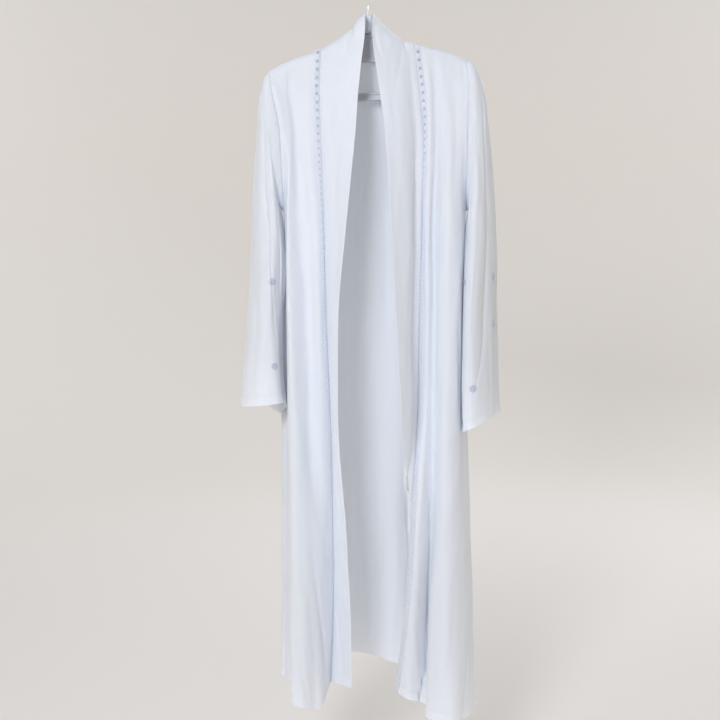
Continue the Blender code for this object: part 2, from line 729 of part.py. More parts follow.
def hanger_hook(material, collection):
    """Wire hook in the upright plane across the hanger, its inside top at the origin."""
    radius = HOOK_INSIDE + HOOK_WIRE / 2
    low = arm_top(0) + SEAM_GAP
    centre = -HOOK_INSIDE
    start = math.radians(HOOK_START)
    join = Vector((0, radius * math.cos(start), centre + radius * math.sin(start)))
    foot = Vector((0, 0, low + HOOK_STEM))
    points = [Vector((0, 0, low)), foot]
    rise = (join.z - foot.z) / 2
    for i in range(1, STEM_POINTS):
        u = i / STEM_POINTS
        bend = foot * (1 - u) ** 3 + (foot + Vector((0, 0, rise))) * 3 * u * (1 - u) ** 2
        bend += (join - Vector((0, rise, rise))) * 3 * u * u * (1 - u) + join * u ** 3
        points.append(bend)
    for i in range(HOOK_POINTS + 1):
        turn = math.radians(HOOK_START + (HOOK_END - HOOK_START) * i / HOOK_POINTS)
        points.append(Vector((0, radius * math.cos(turn), centre + radius * math.sin(turn))))
    curve = bpy.data.curves.new("hanger_hook", "CURVE")
    curve.dimensions = "3D"
    curve.bevel_depth = HOOK_WIRE / 2 * MM
    curve.bevel_resolution = 2
    curve.use_fill_caps = True
    spline = curve.splines.new("POLY")
    spline.points.add(len(points) - 1)
    for spot, point in zip(spline.points, points):
        spot.co = (*(point * MM), 1)
    curve.materials.append(material)
    collection.objects.link(bpy.data.objects.new("hanger_hook", curve))


def build():
    clear_scene()
    collection = bpy.data.collections.new("kaftan_jacket")
    bpy.context.scene.collection.children.link(collection)
    finish = {name: make_material(name) for name in FINISHES}

    right_front = front_sheet(RIGHT_FRONT)
    left_front = front_sheet(LEFT_FRONT)
    back = back_sheet(right_front, left_front)
    right_band = band_sheet(right_front, RIGHT_BAND, RIGHT_COLLAR, RIGHT_NECKLINE, -1, RIGHT_COLLAR_SAG)
    left_band = band_sheet(left_front, LEFT_BAND, LEFT_COLLAR, LEFT_NECKLINE, 1, LEFT_COLLAR_SAG)
    right_sleeve = sleeve_sheet(right_front, [row[0] for row in back], RIGHT_SLEEVE, RIGHT_SLEEVE_FOLDS,
                                RIGHT_CUFF_DROPS, -1)
    left_sleeve = sleeve_sheet(left_front, [row[-1] for row in back], LEFT_SLEEVE, LEFT_SLEEVE_FOLDS,
                               LEFT_CUFF_DROPS, 1)

    # Each piece with the turn that makes its normals point out, and whether its rows are rings
    pieces = {
        "front_right": (right_front, 1, False),
        "front_left": (left_front, -1, False),
        "back": (back, 1, False),
        "band_right": (right_band, -1, False),
        "band_left": (left_band, 1, False),
        "sleeve_right": (right_sleeve, 1, True),
        "sleeve_left": (left_sleeve, -1, True),
    }
    offsets = shared_normals(pieces.values())
    walls = {}
    for name, (sheet, _, closed) in pieces.items():
        walls[name] = cloth_wall(name, sheet, closed, offsets, finish["cloth"], collection)
    trim("trim_right", walls["front_right"], right_front, offsets, finish["braid"], collection)
    trim("trim_left", walls["front_left"], left_front, offsets, finish["braid"], collection)
    for side, sheet, places in (("right", right_sleeve, RIGHT_MOTIFS), ("left", left_sleeve, LEFT_MOTIFS)):
        for number, place in enumerate(places, start=1):
            name = f"motif_{side}_{number}"
            motif(name, walls["sleeve_" + side], sheet, offsets, place, finish["motif"], collection)

    hanger_body(finish["plastic"], collection)
    hanger_bar(finish["plastic"], collection)
    hanger_post("hanger_post_right", -1, finish["plastic"], collection)
    hanger_post("hanger_post_left", 1, finish["plastic"], collection)
    hanger_socket(finish["steel"], collection)
    hanger_hook(finish["steel"], collection)


build()
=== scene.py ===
# Looks of a long open kaftan jacket on a moulded hanger.
# Sizes in the tables are millimetres. X runs to the viewer's right, Y to the back and Z up, and
# the origin is the inside top of the hook. Right and left in names are the wearer's.
import math
from functools import partial

import bmesh
import bpy
import numpy as np
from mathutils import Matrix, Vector
from mathutils.bvhtree import BVHTree


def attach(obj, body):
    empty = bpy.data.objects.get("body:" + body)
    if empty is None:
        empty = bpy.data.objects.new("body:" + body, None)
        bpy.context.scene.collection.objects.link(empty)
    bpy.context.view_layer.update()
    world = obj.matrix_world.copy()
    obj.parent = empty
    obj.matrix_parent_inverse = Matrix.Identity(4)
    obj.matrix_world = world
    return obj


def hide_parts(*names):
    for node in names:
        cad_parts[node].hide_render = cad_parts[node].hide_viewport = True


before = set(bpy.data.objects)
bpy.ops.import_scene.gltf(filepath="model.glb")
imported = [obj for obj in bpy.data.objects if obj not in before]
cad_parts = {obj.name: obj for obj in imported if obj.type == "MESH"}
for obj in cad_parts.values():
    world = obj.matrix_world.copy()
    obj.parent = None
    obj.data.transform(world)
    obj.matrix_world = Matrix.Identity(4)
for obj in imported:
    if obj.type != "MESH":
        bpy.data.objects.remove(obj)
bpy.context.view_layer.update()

MM = 0.001

# Camera and stage, in metres and degrees
CAMERA_PLACE = (-0.0144, -2.3, -0.428)
CAMERA_AIM = (-0.0144, 0, -0.702)
VIEW_ANGLE = 35.3
VIEW_END = 50
FLOOR_HEIGHT = -1.62
STAGE_RADIUS = 4.6
STAGE_SWEEP = 1.6
STAGE_WALL = 4.5
STAGE_SIDES = 96
STAGE_SWEEP_STEPS = 12
# Lights: place, aim, size, power in watts
LIGHTS = {
    "key": ((-1.0, -2.85, 0.7), (0, 0, -0.7), 0.9, 51),
    "fill": ((1.5, -3.0, 0.0), (0, 0, -0.7), 2.0, 6),
    "behind": ((1.3, 2.7, 0.8), (0, 0, -0.7), 0.9, 24),
    "wall_left": ((-2.2, 2.0, 0.9), (-0.7, 4.6, -0.5), 1.5, 10),
    "wall_right": ((2.2, 2.0, 0.9), (0.7, 4.6, -0.5), 1.5, 10),
}
LIGHT_COLOUR = (0.94, 1.0, 1.14)
WORLD_COLOUR = (0.93, 0.99, 1.12)
WORLD_STRENGTH = 0.53
STAGE_COLOUR = (0.80, 0.75, 0.675)
STAGE_ROUGHNESS = 0.9
GLOW_COLOUR = (1.0, 0.98, 0.945)
GLOW = 0.05

# Colours that each material varies between
CREPE = ((0.85, 0.865, 0.94), (0.805, 0.87, 0.935))
GREY = ((0.42, 0.47, 0.54), (0.74, 0.77, 0.83))
WHITE = ((0.88, 0.91, 0.96), (0.82, 0.86, 0.93))
THREAD = ((0.60, 0.62, 0.73), (0.50, 0.52, 0.64))
SEED = ((0.76, 0.78, 0.86), (0.62, 0.64, 0.74))
PLASTIC = ((0.76, 0.77, 0.78), (0.70, 0.71, 0.72))
WIRE = ((0.86, 0.87, 0.89), (0.76, 0.77, 0.79))
# Distance between the threads of the cloth's weave
WEAVE_STEP = 0.7

# Cloth shells
SHELL = 0.9
SHARP_ANGLE = 60
# Size of the grid's quads on each piece
GRID_STEPS = {"front_right": 3.2, "front_left": 3.2, "back": 4.4, "band_right": 3.2, "band_left": 3.2,
              "sleeve_right": 3.9, "sleeve_left": 3.9}
# Distances from an edge where the grid has rows of its own
EDGE_ROWS = (0.8, 1.8, 3.2, 5.5)
HEM_ROWS = (1, 2.5, 4.5, 14, 16, 18)
# Share of a step that the regular rows keep away from those
ROW_CLEARANCE = 0.3
# Samples along and across a surface when its length is measured
SPACING_SAMPLES = (400, 15)

# Heights of levels 1 to 7 of the fold tables. Level 0 is the hem, 8 the shoulder, and 9 the
# centre back of the neck.
LEVEL_HEIGHTS = (-1200, -1000, -800, -600, -400, -250, -170)
UNDERARM = 5
YOKE = 7
SHOULDER = 8
NECK_END = 9

# Hanger: (distance from the middle, height) of the arms' top
HANGER_TILT = 0.06
ARM_TOP = ((0, -52), (50, -62), (98, -80), (130, -88.5), (146, -92.8), (160, -97.6), (174, -103.6),
           (188, -110.6), (197.5, -116))
TOP_CLEARANCE = 1.0
SHOULDER_ROLL = 10
SHOULDER_FALL = 1.3
SHOULDER_SETTLE = 8
NECK_X = 92
ARMHOLE_FRONT = 37
ARMHOLE_BACK = 34

# Fold lines of the fronts from the band seam to the side seam. Columns: the place where the line
# meets the shoulder, the hem's (x, y, z), then (x, y) at levels 1 to 7.
RIGHT_FRONT = {
    "band_seam": (-92, (-77, -22, -1378), (-70, -30), (-70, -38), (-74, -45), (-82, -44), (-87, -38),
                  (-92, -28), (-95, -20)),
    "inner_ridge": (-115, (-92, -76, -1408), (-88, -60), (-87, -54), (-92, -58), (-97, -58),
                    (-104, -50), (-117, -34), (-117, -23)),
    "trough": (-150, (-108, -92, -1409), (-105, -83), (-105, -66), (-116, -50), (-117, -42),
               (-131, -36), (-140, -26), (-150, -18)),
    "outer_ridge": (-161, (-129, -115, -1396), (-131, -102), (-135, -88), (-143, -74), (-151, -66),
                    (-155, -54), (-151, -36), (-161, -21)),
    "corner": (-175, (-152, -104, -1388), (-154, -92), (-156, -76), (-159, -62), (-160, -56),
               (-159, -46), (-160, -39), (-171, -24)),
    "side_trough": (-186, (-150, -38, -1382), (-150, -34), (-152, -30), (-156, -26), (-161, -24),
                    (-162.5, -29), (-167, -39), (-179, -27)),
    "side_seam": (-195, (-172, 10, -1380), (-168, 9), (-166, 8), (-163, 5), (-165, 3), (-168, 0),
                  (-173, -37), (-186.5, -26)),
}
LEFT_FRONT = {
    "band_seam": (92, (58, -72, -1376), (75, -96), (89, -84), (102, -42), (105, -38), (111, -32),
                  (112, -26), (105, -21)),
    "inner_ridge": (112, (83, -94, -1386), (97, -102), (106, -92), (116, -60), (119, -56), (120, -48),
                    (124, -37), (124, -26)),
    "valley": (124, (121, -82, -1403), (127, -70), (132, -60), (132, -52), (134, -46), (134, -38),
               (136, -28), (134, -20)),
    "ridge_turn": (137, (121, -124, -1411), (128, -104), (139, -84), (143, -68), (144, -62), (147, -52),
                   (147, -36), (147, -24)),
    "big_ridge": (155, (169, -146, -1415), (161, -122), (159, -98), (160, -78), (161, -70), (162, -60),
                  (162, -42), (163, -26)),
    "corner": (178, (203, -105, -1418), (197, -88), (187, -74), (182, -62), (182, -56), (184, -46),
               (182, -39), (185, -28)),
    "side_wall": (188, (224, -48, -1416), (216, -38), (205, -30), (194, -26), (193, -24), (192.5, -29),
                  (189.5, -38), (192.5, -28)),
    "side_seam": (196, (228, 2, -1410), (222, 5), (213, 8), (201, 8), (198, 4), (198, 0), (197.5, -37),
                  (198, -27)),
}

# Fold lines of the back between the side seams, from the viewer's left to right, same columns
BACK = {
    "right_corner": (-188, (-181, 30, -1378), (-179, 32), (-178, 32), (-176, 30), (-173, 28),
                     (-162, 28), (-164, 35), (-179.5, 26.5)),
    "ridge_1": (-150, (-128, 64, -1364), (-128, 58), (-127, 52), (-126, 47), (-126, 43), (-128, 40),
                (-140, 36), (-146, 27)),
    "trough_1": (-100, (-78, 44, -1357), (-78, 44), (-78, 42), (-78, 38), (-78, 36), (-80, 35),
                 (-90, 32), (-98, 25)),
    "ridge_2": (-34, (-28, 75, -1352), (-28, 68), (-28, 60), (-28, 52), (-28, 46), (-28, 41), (-30, 36),
                (-34, 26)),
    "middle": (22, (22, 62, -1358), (22, 58), (22, 52), (22, 47), (22, 43), (22, 39), (22, 34), (22, 25)),
    "trough_2": (66, (68, 46, -1368), (68, 46), (68, 44), (68, 41), (67, 39), (66, 37), (66, 33),
                 (64, 24)),
    "ridge_3": (114, (120, 72, -1380), (118, 64), (116, 56), (112, 50), (112, 46), (111, 42), (112, 37),
                (112, 27)),
    "trough_3": (160, (172, 48, -1396), (169, 46), (166, 44), (162, 42), (160, 38), (158, 36),
                 (158, 35), (158, 27)),
    "left_corner": (190, (219, 36, -1406), (216, 36), (212, 34), (206, 32), (204, 28), (195, 28),
                    (189, 35), (189.5, 26.5)),
}

# Middle line and free edge of the front bands: the hem, then levels 1 to 7
RIGHT_BAND = {
    "middle": ((-50, -64, -1368), (-48, -71), (-53, -83), (-62, -92), (-66, -88), (-58, -82), (-54, -65),
               (-55, -49)),
    "edge": ((-31, -100, -1360), (-34, -110), (-44, -122), (-57, -133), (-56, -130), (-38, -118),
             (-24, -95), (-18, -70)),
}
LEFT_BAND = {
    "middle": ((77, -36, -1374), (86, -56), (80, -86), (88, -88), (83, -84), (82, -76), (79, -60),
               (71, -46)),
    "edge": ((86, 2, -1372), (93, -14), (74, -60), (67, -130), (55, -125), (44, -110), (34, -85),
             (24, -62)),
}
# Free edge of the bands above the yoke, up the front and round the hook: (level, x, y, z)
RIGHT_COLLAR = ((7, -18, -70, -170), (7.35, -11, -60, -110), (7.65, -5.5, -48, -62), (7.88, -5.5, -30, -22),
                (8, -5.5, 0, -12), (8.4, -5.5, 26, -10), (8.75, -3.5, 43, -9), (9, 2, 50, -8))
LEFT_COLLAR = ((7, 24, -62, -170), (7.35, 15, -56, -112), (7.65, 10.5, -46, -71), (7.88, 9.5, -30, -26),
               (8, 10, 0, -14), (8.4, 10, 26, -10), (8.75, 7, 43, -10), (9, 2, 50, -8))
RIGHT_COLLAR_SAG = 8
LEFT_COLLAR_SAG = 9
# Neckline from the shoulder to the centre back, behind the hanger: (level, x, y, z)
RIGHT_NECKLINE = ((8.12, -90.5, 6, -82), (8.3, -83, 13, -87.5), (8.55, -62, 15, -97), (8.8, -30, 15, -103),
                  (9, 0, 14.5, -105))
LEFT_NECKLINE = ((8.12, 90.5, 6, -71), (8.3, 83, 13, -79), (8.55, 62, 15, -93), (8.8, 30, 15, -102),
                 (9, 0, 14.5, -105))

# Sleeve rings below the armhole. Columns: outer line (x, z), inner line (x, z), depth to the
# front and to the back, lean of the ring's back away from the body, drop of its back.
RIGHT_SLEEVE = (
    ((-202.5, -136), (-177, -394), 41, 38, 0.02, 0.0),
    ((-208, -152), (-178, -402), 43, 39, 0.05, 0.0),
    ((-215.5, -184), (-175, -426), 45, 39, 0.12, 0.0),
    ((-220, -240), (-172.5, -462), 48, 40, 0.22, 0.0),
    ((-225, -310), (-172.5, -500), 51, 42, 0.30, 0.0),
    ((-229, -385), (-174, -545), 53, 44, 0.30, 0.0),
    ((-232.5, -460), (-176, -590), 55, 46, 0.25, 0.0),
    ((-237, -540), (-176.5, -638), 58, 48, 0.22, 0.01),
    ((-243, -620), (-176.5, -685), 62, 51, 0.20, 0.03),
    ((-249, -690), (-175, -725), 65, 54, 0.20, 0.05),
    ((-254.5, -745), (-172, -757), 68, 57, 0.20, 0.07),
    ((-258.5, -796), (-169, -786), 72, 60, 0.20, 0.10),
)
LEFT_SLEEVE = (
    ((206, -105.5), (207.5, -394), 41, 38, 0.02, 0.0),
    ((215, -117), (208.5, -402), 44, 38, 0.05, 0.0),
    ((224, -140), (205, -428), 48, 37, 0.15, 0.0),
    ((236, -184), (202.5, -470), 52, 33, 0.26, 0.0),
    ((244, -262), (201.5, -515), 58, 32, 0.33, 0.0),
    ((250, -345), (200, -560), 64, 32, 0.38, 0.0),
    ((254, -425), (199.5, -605), 70, 32, 0.41, 0.0),
    ((256, -505), (199.5, -650), 74, 33, 0.44, 0.0),
    ((256, -585), (199.5, -695), 76, 35, 0.45, 0.0),
    ((258, -660), (200, -744), 78, 38, 0.45, -0.02),
    ((262, -736), (202, -795), 80, 42, 0.45, -0.05),
    ((266, -808), (205, -838), 84, 46, 0.45, -0.10),
)
EVEN_RING = 4
ARMHOLE_LEVELS = (8, 7.988, 7.955, 7.88, 7.7, 7.4, 7, 6.5, 6, 5.7, 5.4, 5.12, 5)
# Levels between which the armhole is measured, closer at its ends: first, last, how many
LOOP_LEVELS = ((8, 7.9, 30), (7.88, 5.2, 60), (5.18, 5, 40))
# Points on each stretch of the back's top edge
TOP_POINTS = 60
# Sleeve folds. Columns: angle round the ring (0 outer line, 90 front, 180 inner line), width in
# degrees, depth, first ring, last ring.
RIGHT_SLEEVE_FOLDS = ((60, 22, -4.0, 2, 7), (118, 22, -5.0, 5, 9), (92, 20, 3.0, 4, 10),
                      (250, 28, -4.0, 3, 9))
LEFT_SLEEVE_FOLDS = ((42, 26, -5.0, 5, 10), (78, 22, 3.0, 4, 11), (255, 30, -4.0, 3, 9),
                     (305, 24, 3.0, 4, 11))
# Where the sleeves hang lower at the cuff, same columns with the drop as a negative depth
RIGHT_CUFF_DROPS = ((212, 36, -26.0, 8, 16),)
LEFT_CUFF_DROPS = ()

# Creases. Columns: (distance from the row's start, height) along the crease, or on a sleeve (angle
# round it, distance from the armhole), then width towards the row's start, width towards its end,
# height (troughs are negative).
CREASES = {
    "front_right": (
        (((51, -192), (56, -300), (59, -378), (61, -457), (55, -546), (52, -636), (49, -737), (50, -838),
          (47, -938), (43, -1030)), 6, 12, -4.0),
        (((25, -222), (26, -379), (22, -477), (22, -635), (30, -837)), 8, 8, 2.5),
        (((61, -1059), (53, -1185), (38, -1275), (24, -1460)), 5, 9, -4.5),
        (((76, -894), (83, -1034), (92, -1206)), 8, 12, -2.5),
        (((74, -1139), (78, -1241), (69, -1338)), 6, 8, -2.0),
        (((101, -545), (101, -694), (97, -854)), 6, 8, -2.0),
        (((92, -142), (90, -210), (84, -330)), 7, 9, -1.8),
        (((128, -1010), (134, -1150), (140, -1440)), 9, 12, 2.6),
        (((112, -1090), (112, -1230), (108, -1450)), 6, 6, -2.4),
    ),
    "front_left": (
        (((13, -130), (10, -203), (9, -300), (15, -457), (22, -575), (25, -695), (21, -816)), 5, 5, 3.0),
        (((39, -112), (33, -202), (33, -300), (33, -378), (34, -457), (40, -576), (44, -636), (40, -767)),
         5, 7, -4.5),
        (((44, -918), (60, -1062), (67, -1186), (69, -1269), (68, -1343), (62, -1450), (60, -1750)),
         3, 3.5, -8.0),
        (((155, -1162), (157, -1269), (157, -1470)), 8, 8, -3.0),
        (((201, -1193), (214, -1304), (214, -1470)), 5, 5, -2.2),
        (((6, -1112), (27, -1170), (52, -1222)), 3, 4, -2.0),
        (((10, -1140), (33, -1233), (56, -1325)), 3, 4, -2.2),
        (((9, -1240), (31, -1306), (54, -1400)), 3, 4, -2.2),
        (((66, -130), (76, -281), (84, -418)), 9, 6, -1.8),
        (((73, -793), (98, -932), (121, -1051), (131, -1189)), 10, 10, -2.4),
        (((105, -545), (110, -695), (116, -886)), 6, 4, -2.2),
        (((262, -960), (268, -1120), (286, -1460)), 10, 10, -3.2),
        (((240, -1040), (246, -1180), (256, -1450)), 8, 8, 2.4),
    ),
    "band_left": (
        (((30, -62), (33, -96), (45, -123), (60, -168)), 3.5, 6, -3.0),
        (((97, -24), (96, -51), (90, -74), (83, -108)), 3, 4, -3.0),
        (((27, -16), (25, -38), (24, -56), (20, -78), (19, -92)), 3.5, 4.5, -6.0),
        (((15, -60), (16, -240), (17, -420), (16, -640), (15, -860), (14, -1060)), 6, 24, -13.0),
        (((66, -98), (70, -167), (76, -265)), 8, 8, -1.8),
        (((42, -880), (26, -950), (10, -1004)), 4, 5, -2.0),
        (((22, -1060), (44, -1150), (60, -1290)), 6, 7, -2.4),
        (((14, -1180), (30, -1270), (40, -1420)), 5, 6, -2.0),
        (((58, -420), (54, -560), (60, -720)), 12, 12, 1.6),
    ),
    "band_right": (
        (((76, -14), (77, -34), (76, -70)), 7, 5, -6.0),
        (((66, -52), (61, -80), (52, -120)), 3.5, 6, -3.0),
        (((20, -1087), (45, -1169), (80, -1248)), 4, 5, -1.9),
        (((10, -1197), (34, -1287), (58, -1372)), 5, 6, -2.1),
        (((35, -145), (38, -302), (45, -477)), 10, 10, -1.6),
        (((64, -520), (58, -700), (62, -880)), 12, 12, 1.5),
        (((30, -870), (38, -980), (34, -1090)), 7, 8, -1.6),
    ),
    "back": (
        (((211, -216), (229, -417), (249, -623), (262, -918)), 12, 12, 2.8),
        (((178, -177), (163, -377), (184, -582), (193, -856)), 12, 12, -4.5),
        (((227, -923), (239, -1141), (254, -1480)), 10, 14, 3.4),
        (((66, -150), (72, -330), (58, -560), (66, -820)), 9, 12, -6.0),
        (((96, -640), (104, -860), (98, -1120), (106, -1480)), 8, 12, -7.0),
        (((128, -340), (122, -560), (134, -840)), 10, 9, 4.6),
        (((150, -920), (158, -1140), (150, -1480)), 9, 9, -5.5),
        (((300, -170), (292, -360), (304, -590), (296, -780)), 10, 12, -6.4),
        (((330, -520), (340, -760), (334, -1010), (352, -1480)), 9, 11, -7.0),
        (((372, -240), (380, -470), (368, -700)), 8, 10, -5.0),
        (((396, -830), (408, -1080), (420, -1480)), 8, 10, -6.0),
        (((302, -990), (296, -1190), (308, -1480)), 8, 10, 3.0),
        (((30, -820), (36, -1040), (34, -1480)), 8, 8, -3.0),
        (((455, -900), (468, -1150), (480, -1480)), 9, 9, -3.2),
        (((20, -340), (60, -300), (104, -226)), 6, 6, -1.6),
        (((402, -330), (366, -290), (318, -214)), 6, 6, -1.6),
    ),
    "sleeve_right": (
        (((34, 66), (46, 189), (55, 239), (63, 267), (81, 311), (89, 344), (100, 361), (110, 384),
          (117, 402), (124, 430)), 7, 4, -4.5),
        (((112, 180), (119, 206), (134, 238), (140, 258), (146, 300)), 6, 4, -3.0),
        (((174, -110), (174, 30), (172, 100), (168, 220)), 12, 12, 8.0),
        (((174, 120), (174, 300), (174, 480)), 12, 12, 5.0),
        (((49, 406), (54, 527), (58, 655)), 10, 10, -2.0),
        (((85, 480), (86, 560), (84, 637)), 9, 9, -1.6),
        (((12, 90), (8, 260), (14, 440)), 7, 9, -2.6),
        (((334, 150), (328, 330), (338, 520)), 8, 8, 2.4),
        (((312, 60), (300, 200), (288, 330), (270, 420)), 8, 5, -4.2),
        (((262, 40), (246, 130), (228, 220), (214, 300)), 6, 5, -3.6),
        (((280, 380), (290, 520), (284, 660)), 9, 7, -3.2),
        (((236, 330), (240, 450), (230, 590)), 8, 8, 2.4),
        (((206, 300), (212, 400), (204, 560)), 6, 6, -2.6),
    ),
    "sleeve_left": (
        (((14, 60), (18, 97), (25, 198), (26, 334)), 7, 5, -3.2),
        (((26, 330), (38, 450), (47, 550), (61, 594), (78, 616), (96, 640)), 6, 6, -4.2),
        (((14, 484), (22, 589), (28, 720)), 5, 5, 2.5),
        (((104, 20), (124, 144), (115, 307)), 9, 9, -1.8),
        (((174, -110), (174, 60), (172, 180), (170, 330)), 12, 12, 6.0),
        (((354, 410), (350, 518), (356, 630)), 5, 4, -2.4),
        (((148, 120), (140, 250), (150, 400)), 7, 7, -2.2),
        (((88, 330), (92, 470), (86, 600)), 10, 10, 1.8),
        (((330, 70), (318, 210), (300, 340), (284, 450)), 8, 5, -4.4),
        (((286, 50), (262, 150), (240, 250), (222, 320)), 6, 5, -3.6),
        (((300, 420), (306, 560), (298, 700)), 9, 7, -3.2),
        (((252, 360), (248, 500), (258, 640)), 8, 8, 2.4),
        (((214, 330), (220, 450), (210, 600)), 6, 6, -2.6),
    ),
}
# Slow undulation of the cloth: wavelength across and along, height
UNDULATIONS = ((61, 420, 0.7), (37, 260, 0.45), (23, 170, 0.25))
# How far the waves lean across, the share of their length in which they do, and how much a
# piece's phase shifts them along
WAVE_LEAN = 0.6
WAVE_LEAN_LENGTH = 0.9
WAVE_SHIFT = 1.7
# Phase from each piece to the next
PHASE_STEP = 1.3
# Waves round a sleeve: of the first undulation, and more for each further one
WAVES_ROUND = (6, 3)
CREASE_POINTS = 60
CREASE_SHAPE = 1.6
CREASE_TAPER = 0.75
CREASE_WANDER = 1.2
CREASE_SWELL = 0.2
# Lengths in which a crease wanders and swells: of a piece's first crease, and more for each further one
WANDER_LENGTH = (31, 3)
SWELL_LENGTH = (53, 5)
SEAM_STIFFNESS = 9
PUCKER_LENGTH = 12.5
PUCKER_HEIGHT = 0.35
# Distances from a seam over which its gathers rise and die away
PUCKER_RISE = 3
PUCKER_REACH = 6
# How far the gathers drift along a seam, and in what length
PUCKER_DRIFT = 2
PUCKER_DRIFT_LENGTH = 41
# Groove along the armhole seams: depth, reach, and the heights over which it fades at its ends
GROOVE = 5.0
GROOVE_REACH = 2.4
GROOVE_FADE = 45
GROOVE_END = 15
HEM_DEPTH = 16
HEM_STITCH = 0.7
HEM_STITCH_WIDTH = 1.5
HEM_FLARE = 1.6
HEM_FLARE_REACH = 4

# Braids beside the band seams: a ribbon, a row of grey beads and a lattice of white ones
BRAID_START = 1.2
BRAID_WIDTH = 9.2
BRAID_COLUMNS = 5
# Distances of the ribbon's start from the hem and of the braid's end from the shoulder
BRAID_FOOT = 1
BRAID_END = 2
BRAID_LIFT = 0.9
BRAID_THICK = 0.8
BRAID_RIB = 0.25
BRAID_CROWN = 0.35
BRAID_STEP = 2.4
# The grey beads lie in one column at the shoulder and in a zigzag lower down. Columns: share of the
# length from the hem, step between beads, distance from the middle, bead's half width and length
GREY_BEADS = ((0.0, 6.4, 2.7, 1.1, 1.4), (0.30, 6.6, 2.7, 1.2, 1.5), (0.62, 7.6, 2.4, 1.4, 1.75),
              (0.80, 12.5, 0.5, 1.9, 2.3), (0.90, 16.0, 0.0, 2.6, 3.0), (1.0, 16.8, 0.0, 2.9, 3.3))
GREY_THICKNESS = 0.62
# Distances of the first grey bead from the hem and of the last from the braid's end
FIRST_BEAD = 5.0
LAST_BEAD = 3
# Nearer the middle than this the grey beads are one column, with white ones beside and between
ONE_COLUMN = 1
FLANK = 2.9
FLANK_SHARES = (0.3, 0.7)
BEAD_GAP = 0.3
# Share of a bead's half thickness that its middle lies above the braid's lift
BEAD_SEAT = 0.9
# Heights between which the grey beads turn from dark to light
GREY_FADE = (-120, -420)
WHITE_BEAD = (1.3, 1.65, 1.2)
PICOT = (0.95, 1.235, 0.95)
PICOT_START = 3
PICOT_STEP = 3.65
PICOT_PLACES = (1.0, 10.6)
# Subdivisions of the balls that beads and petals are made of
FINE_BALL = 3
PLAIN_BALL = 2

# Rosettes on the sleeves
PETALS = 6
PETAL = (3.1, 2.3, 0.75)
PETAL_PLACE = 4.5
PETAL_LIFT = 0.5
INNER_PETAL = (2.2, 1.2, 0.6)
INNER_PLACE = 3.24
INNER_LIFT = 0.3
ROSETTE_MIDDLE = (1.75, 1.75, 1.1)
MIDDLE_LIFT = 0.9
SEED_RING = 7.4
SEEDS = 18
SEED_RADIUS = 0.62
SEED_LIFT = 0.496
# Rays that look for the cloth under a rosette: start above it, length, and depth taken for a miss
PROBE_START = 12
PROBE_REACH = 40
MISS_DEPTH = 1.2


def running(steps, axis=0):
    """Running sum of the steps along an axis, from nought."""
    nought = np.zeros_like(np.take(steps, [0], axis))
    return np.concatenate([nought, np.cumsum(steps, axis=axis)], axis=axis)


def smooth_curve(knots, values, at):
    """Points at the parameters of a smooth curve through the values at the knots."""
    knots = np.asarray(knots, float)
    values = np.asarray(values, float)
    at = np.asarray(at, float)
    last = len(knots) - 1
    i = np.clip(np.searchsorted(knots, at, side="left") - 1, 0, last - 1)
    order = np.arange(last + 1)
    low = np.maximum(order - 1, 0)
    high = np.minimum(order + 1, last)
    slopes = (values[high] - values[low]) / (knots[high] - knots[low])[:, None]
    span = (knots[i + 1] - knots[i])[:, None]
    u = (at[:, None] - knots[i][:, None]) / span
    rise = u * u * (3 - 2 * u)
    lead = u * (1 - u) * (1 - u) * span
    trail = u * u * (u - 1) * span
    return values[i] * (1 - rise) + values[i + 1] * rise + slopes[i] * lead + slopes[i + 1] * trail


def arm_top(x):
    x = np.asarray(x, float)
    distance = [place for place, _ in ARM_TOP]
    height = [[top] for _, top in ARM_TOP]
    return smooth_curve(distance, height, np.abs(x))[:, 0] + x * HANGER_TILT


def shoulder_points(x):
    x = np.asarray(x, float)
    return np.stack([x, np.zeros_like(x), arm_top(x) + TOP_CLEARANCE], axis=1)


def fold_line(hem, places):
    """Control points of a fold line at levels 0 to 7."""
    return [list(hem)] + [[x, y, z] for (x, y), z in zip(places, LEVEL_HEIGHTS)]


def over_shoulder(yoke, top, share, side):
    """Points between the yoke and the top edge, rolling over the hanger's arm."""
    share = np.asarray(share, float)[..., None]
    points = yoke + (top - yoke) * share
    whole = (top - yoke)[..., 2]
    below = top[..., 2] - points[..., 2]
    start = np.abs(top[..., 1])
    lift = 1 - np.minimum(below / SHOULDER_ROLL, 1)
    reach = np.maximum(0.0, SHOULDER_ROLL - start)
    rest = np.abs(yoke[..., 1]) - start - reach
    fall = np.clip(below / whole, 0, 1) ** SHOULDER_FALL
    points[..., 1] = side * (start + reach * np.sqrt(np.maximum(0, 1 - lift * lift)) + rest * fall)
    return points


def panel_line(columns, levels, side):
    """Points of one fold line of a front (side -1) or of the back (side 1)."""
    top_x, hem, *places = columns
    controls = fold_line(hem, places)
    points = smooth_curve(range(YOKE + 1), controls, np.minimum(levels, YOKE))
    above = levels > YOKE
    if above.any():
        yoke = np.array(controls[-1], float)
        points[above] = over_shoulder(yoke, shoulder_points([top_x])[0], levels[above] - YOKE, side)
    return points


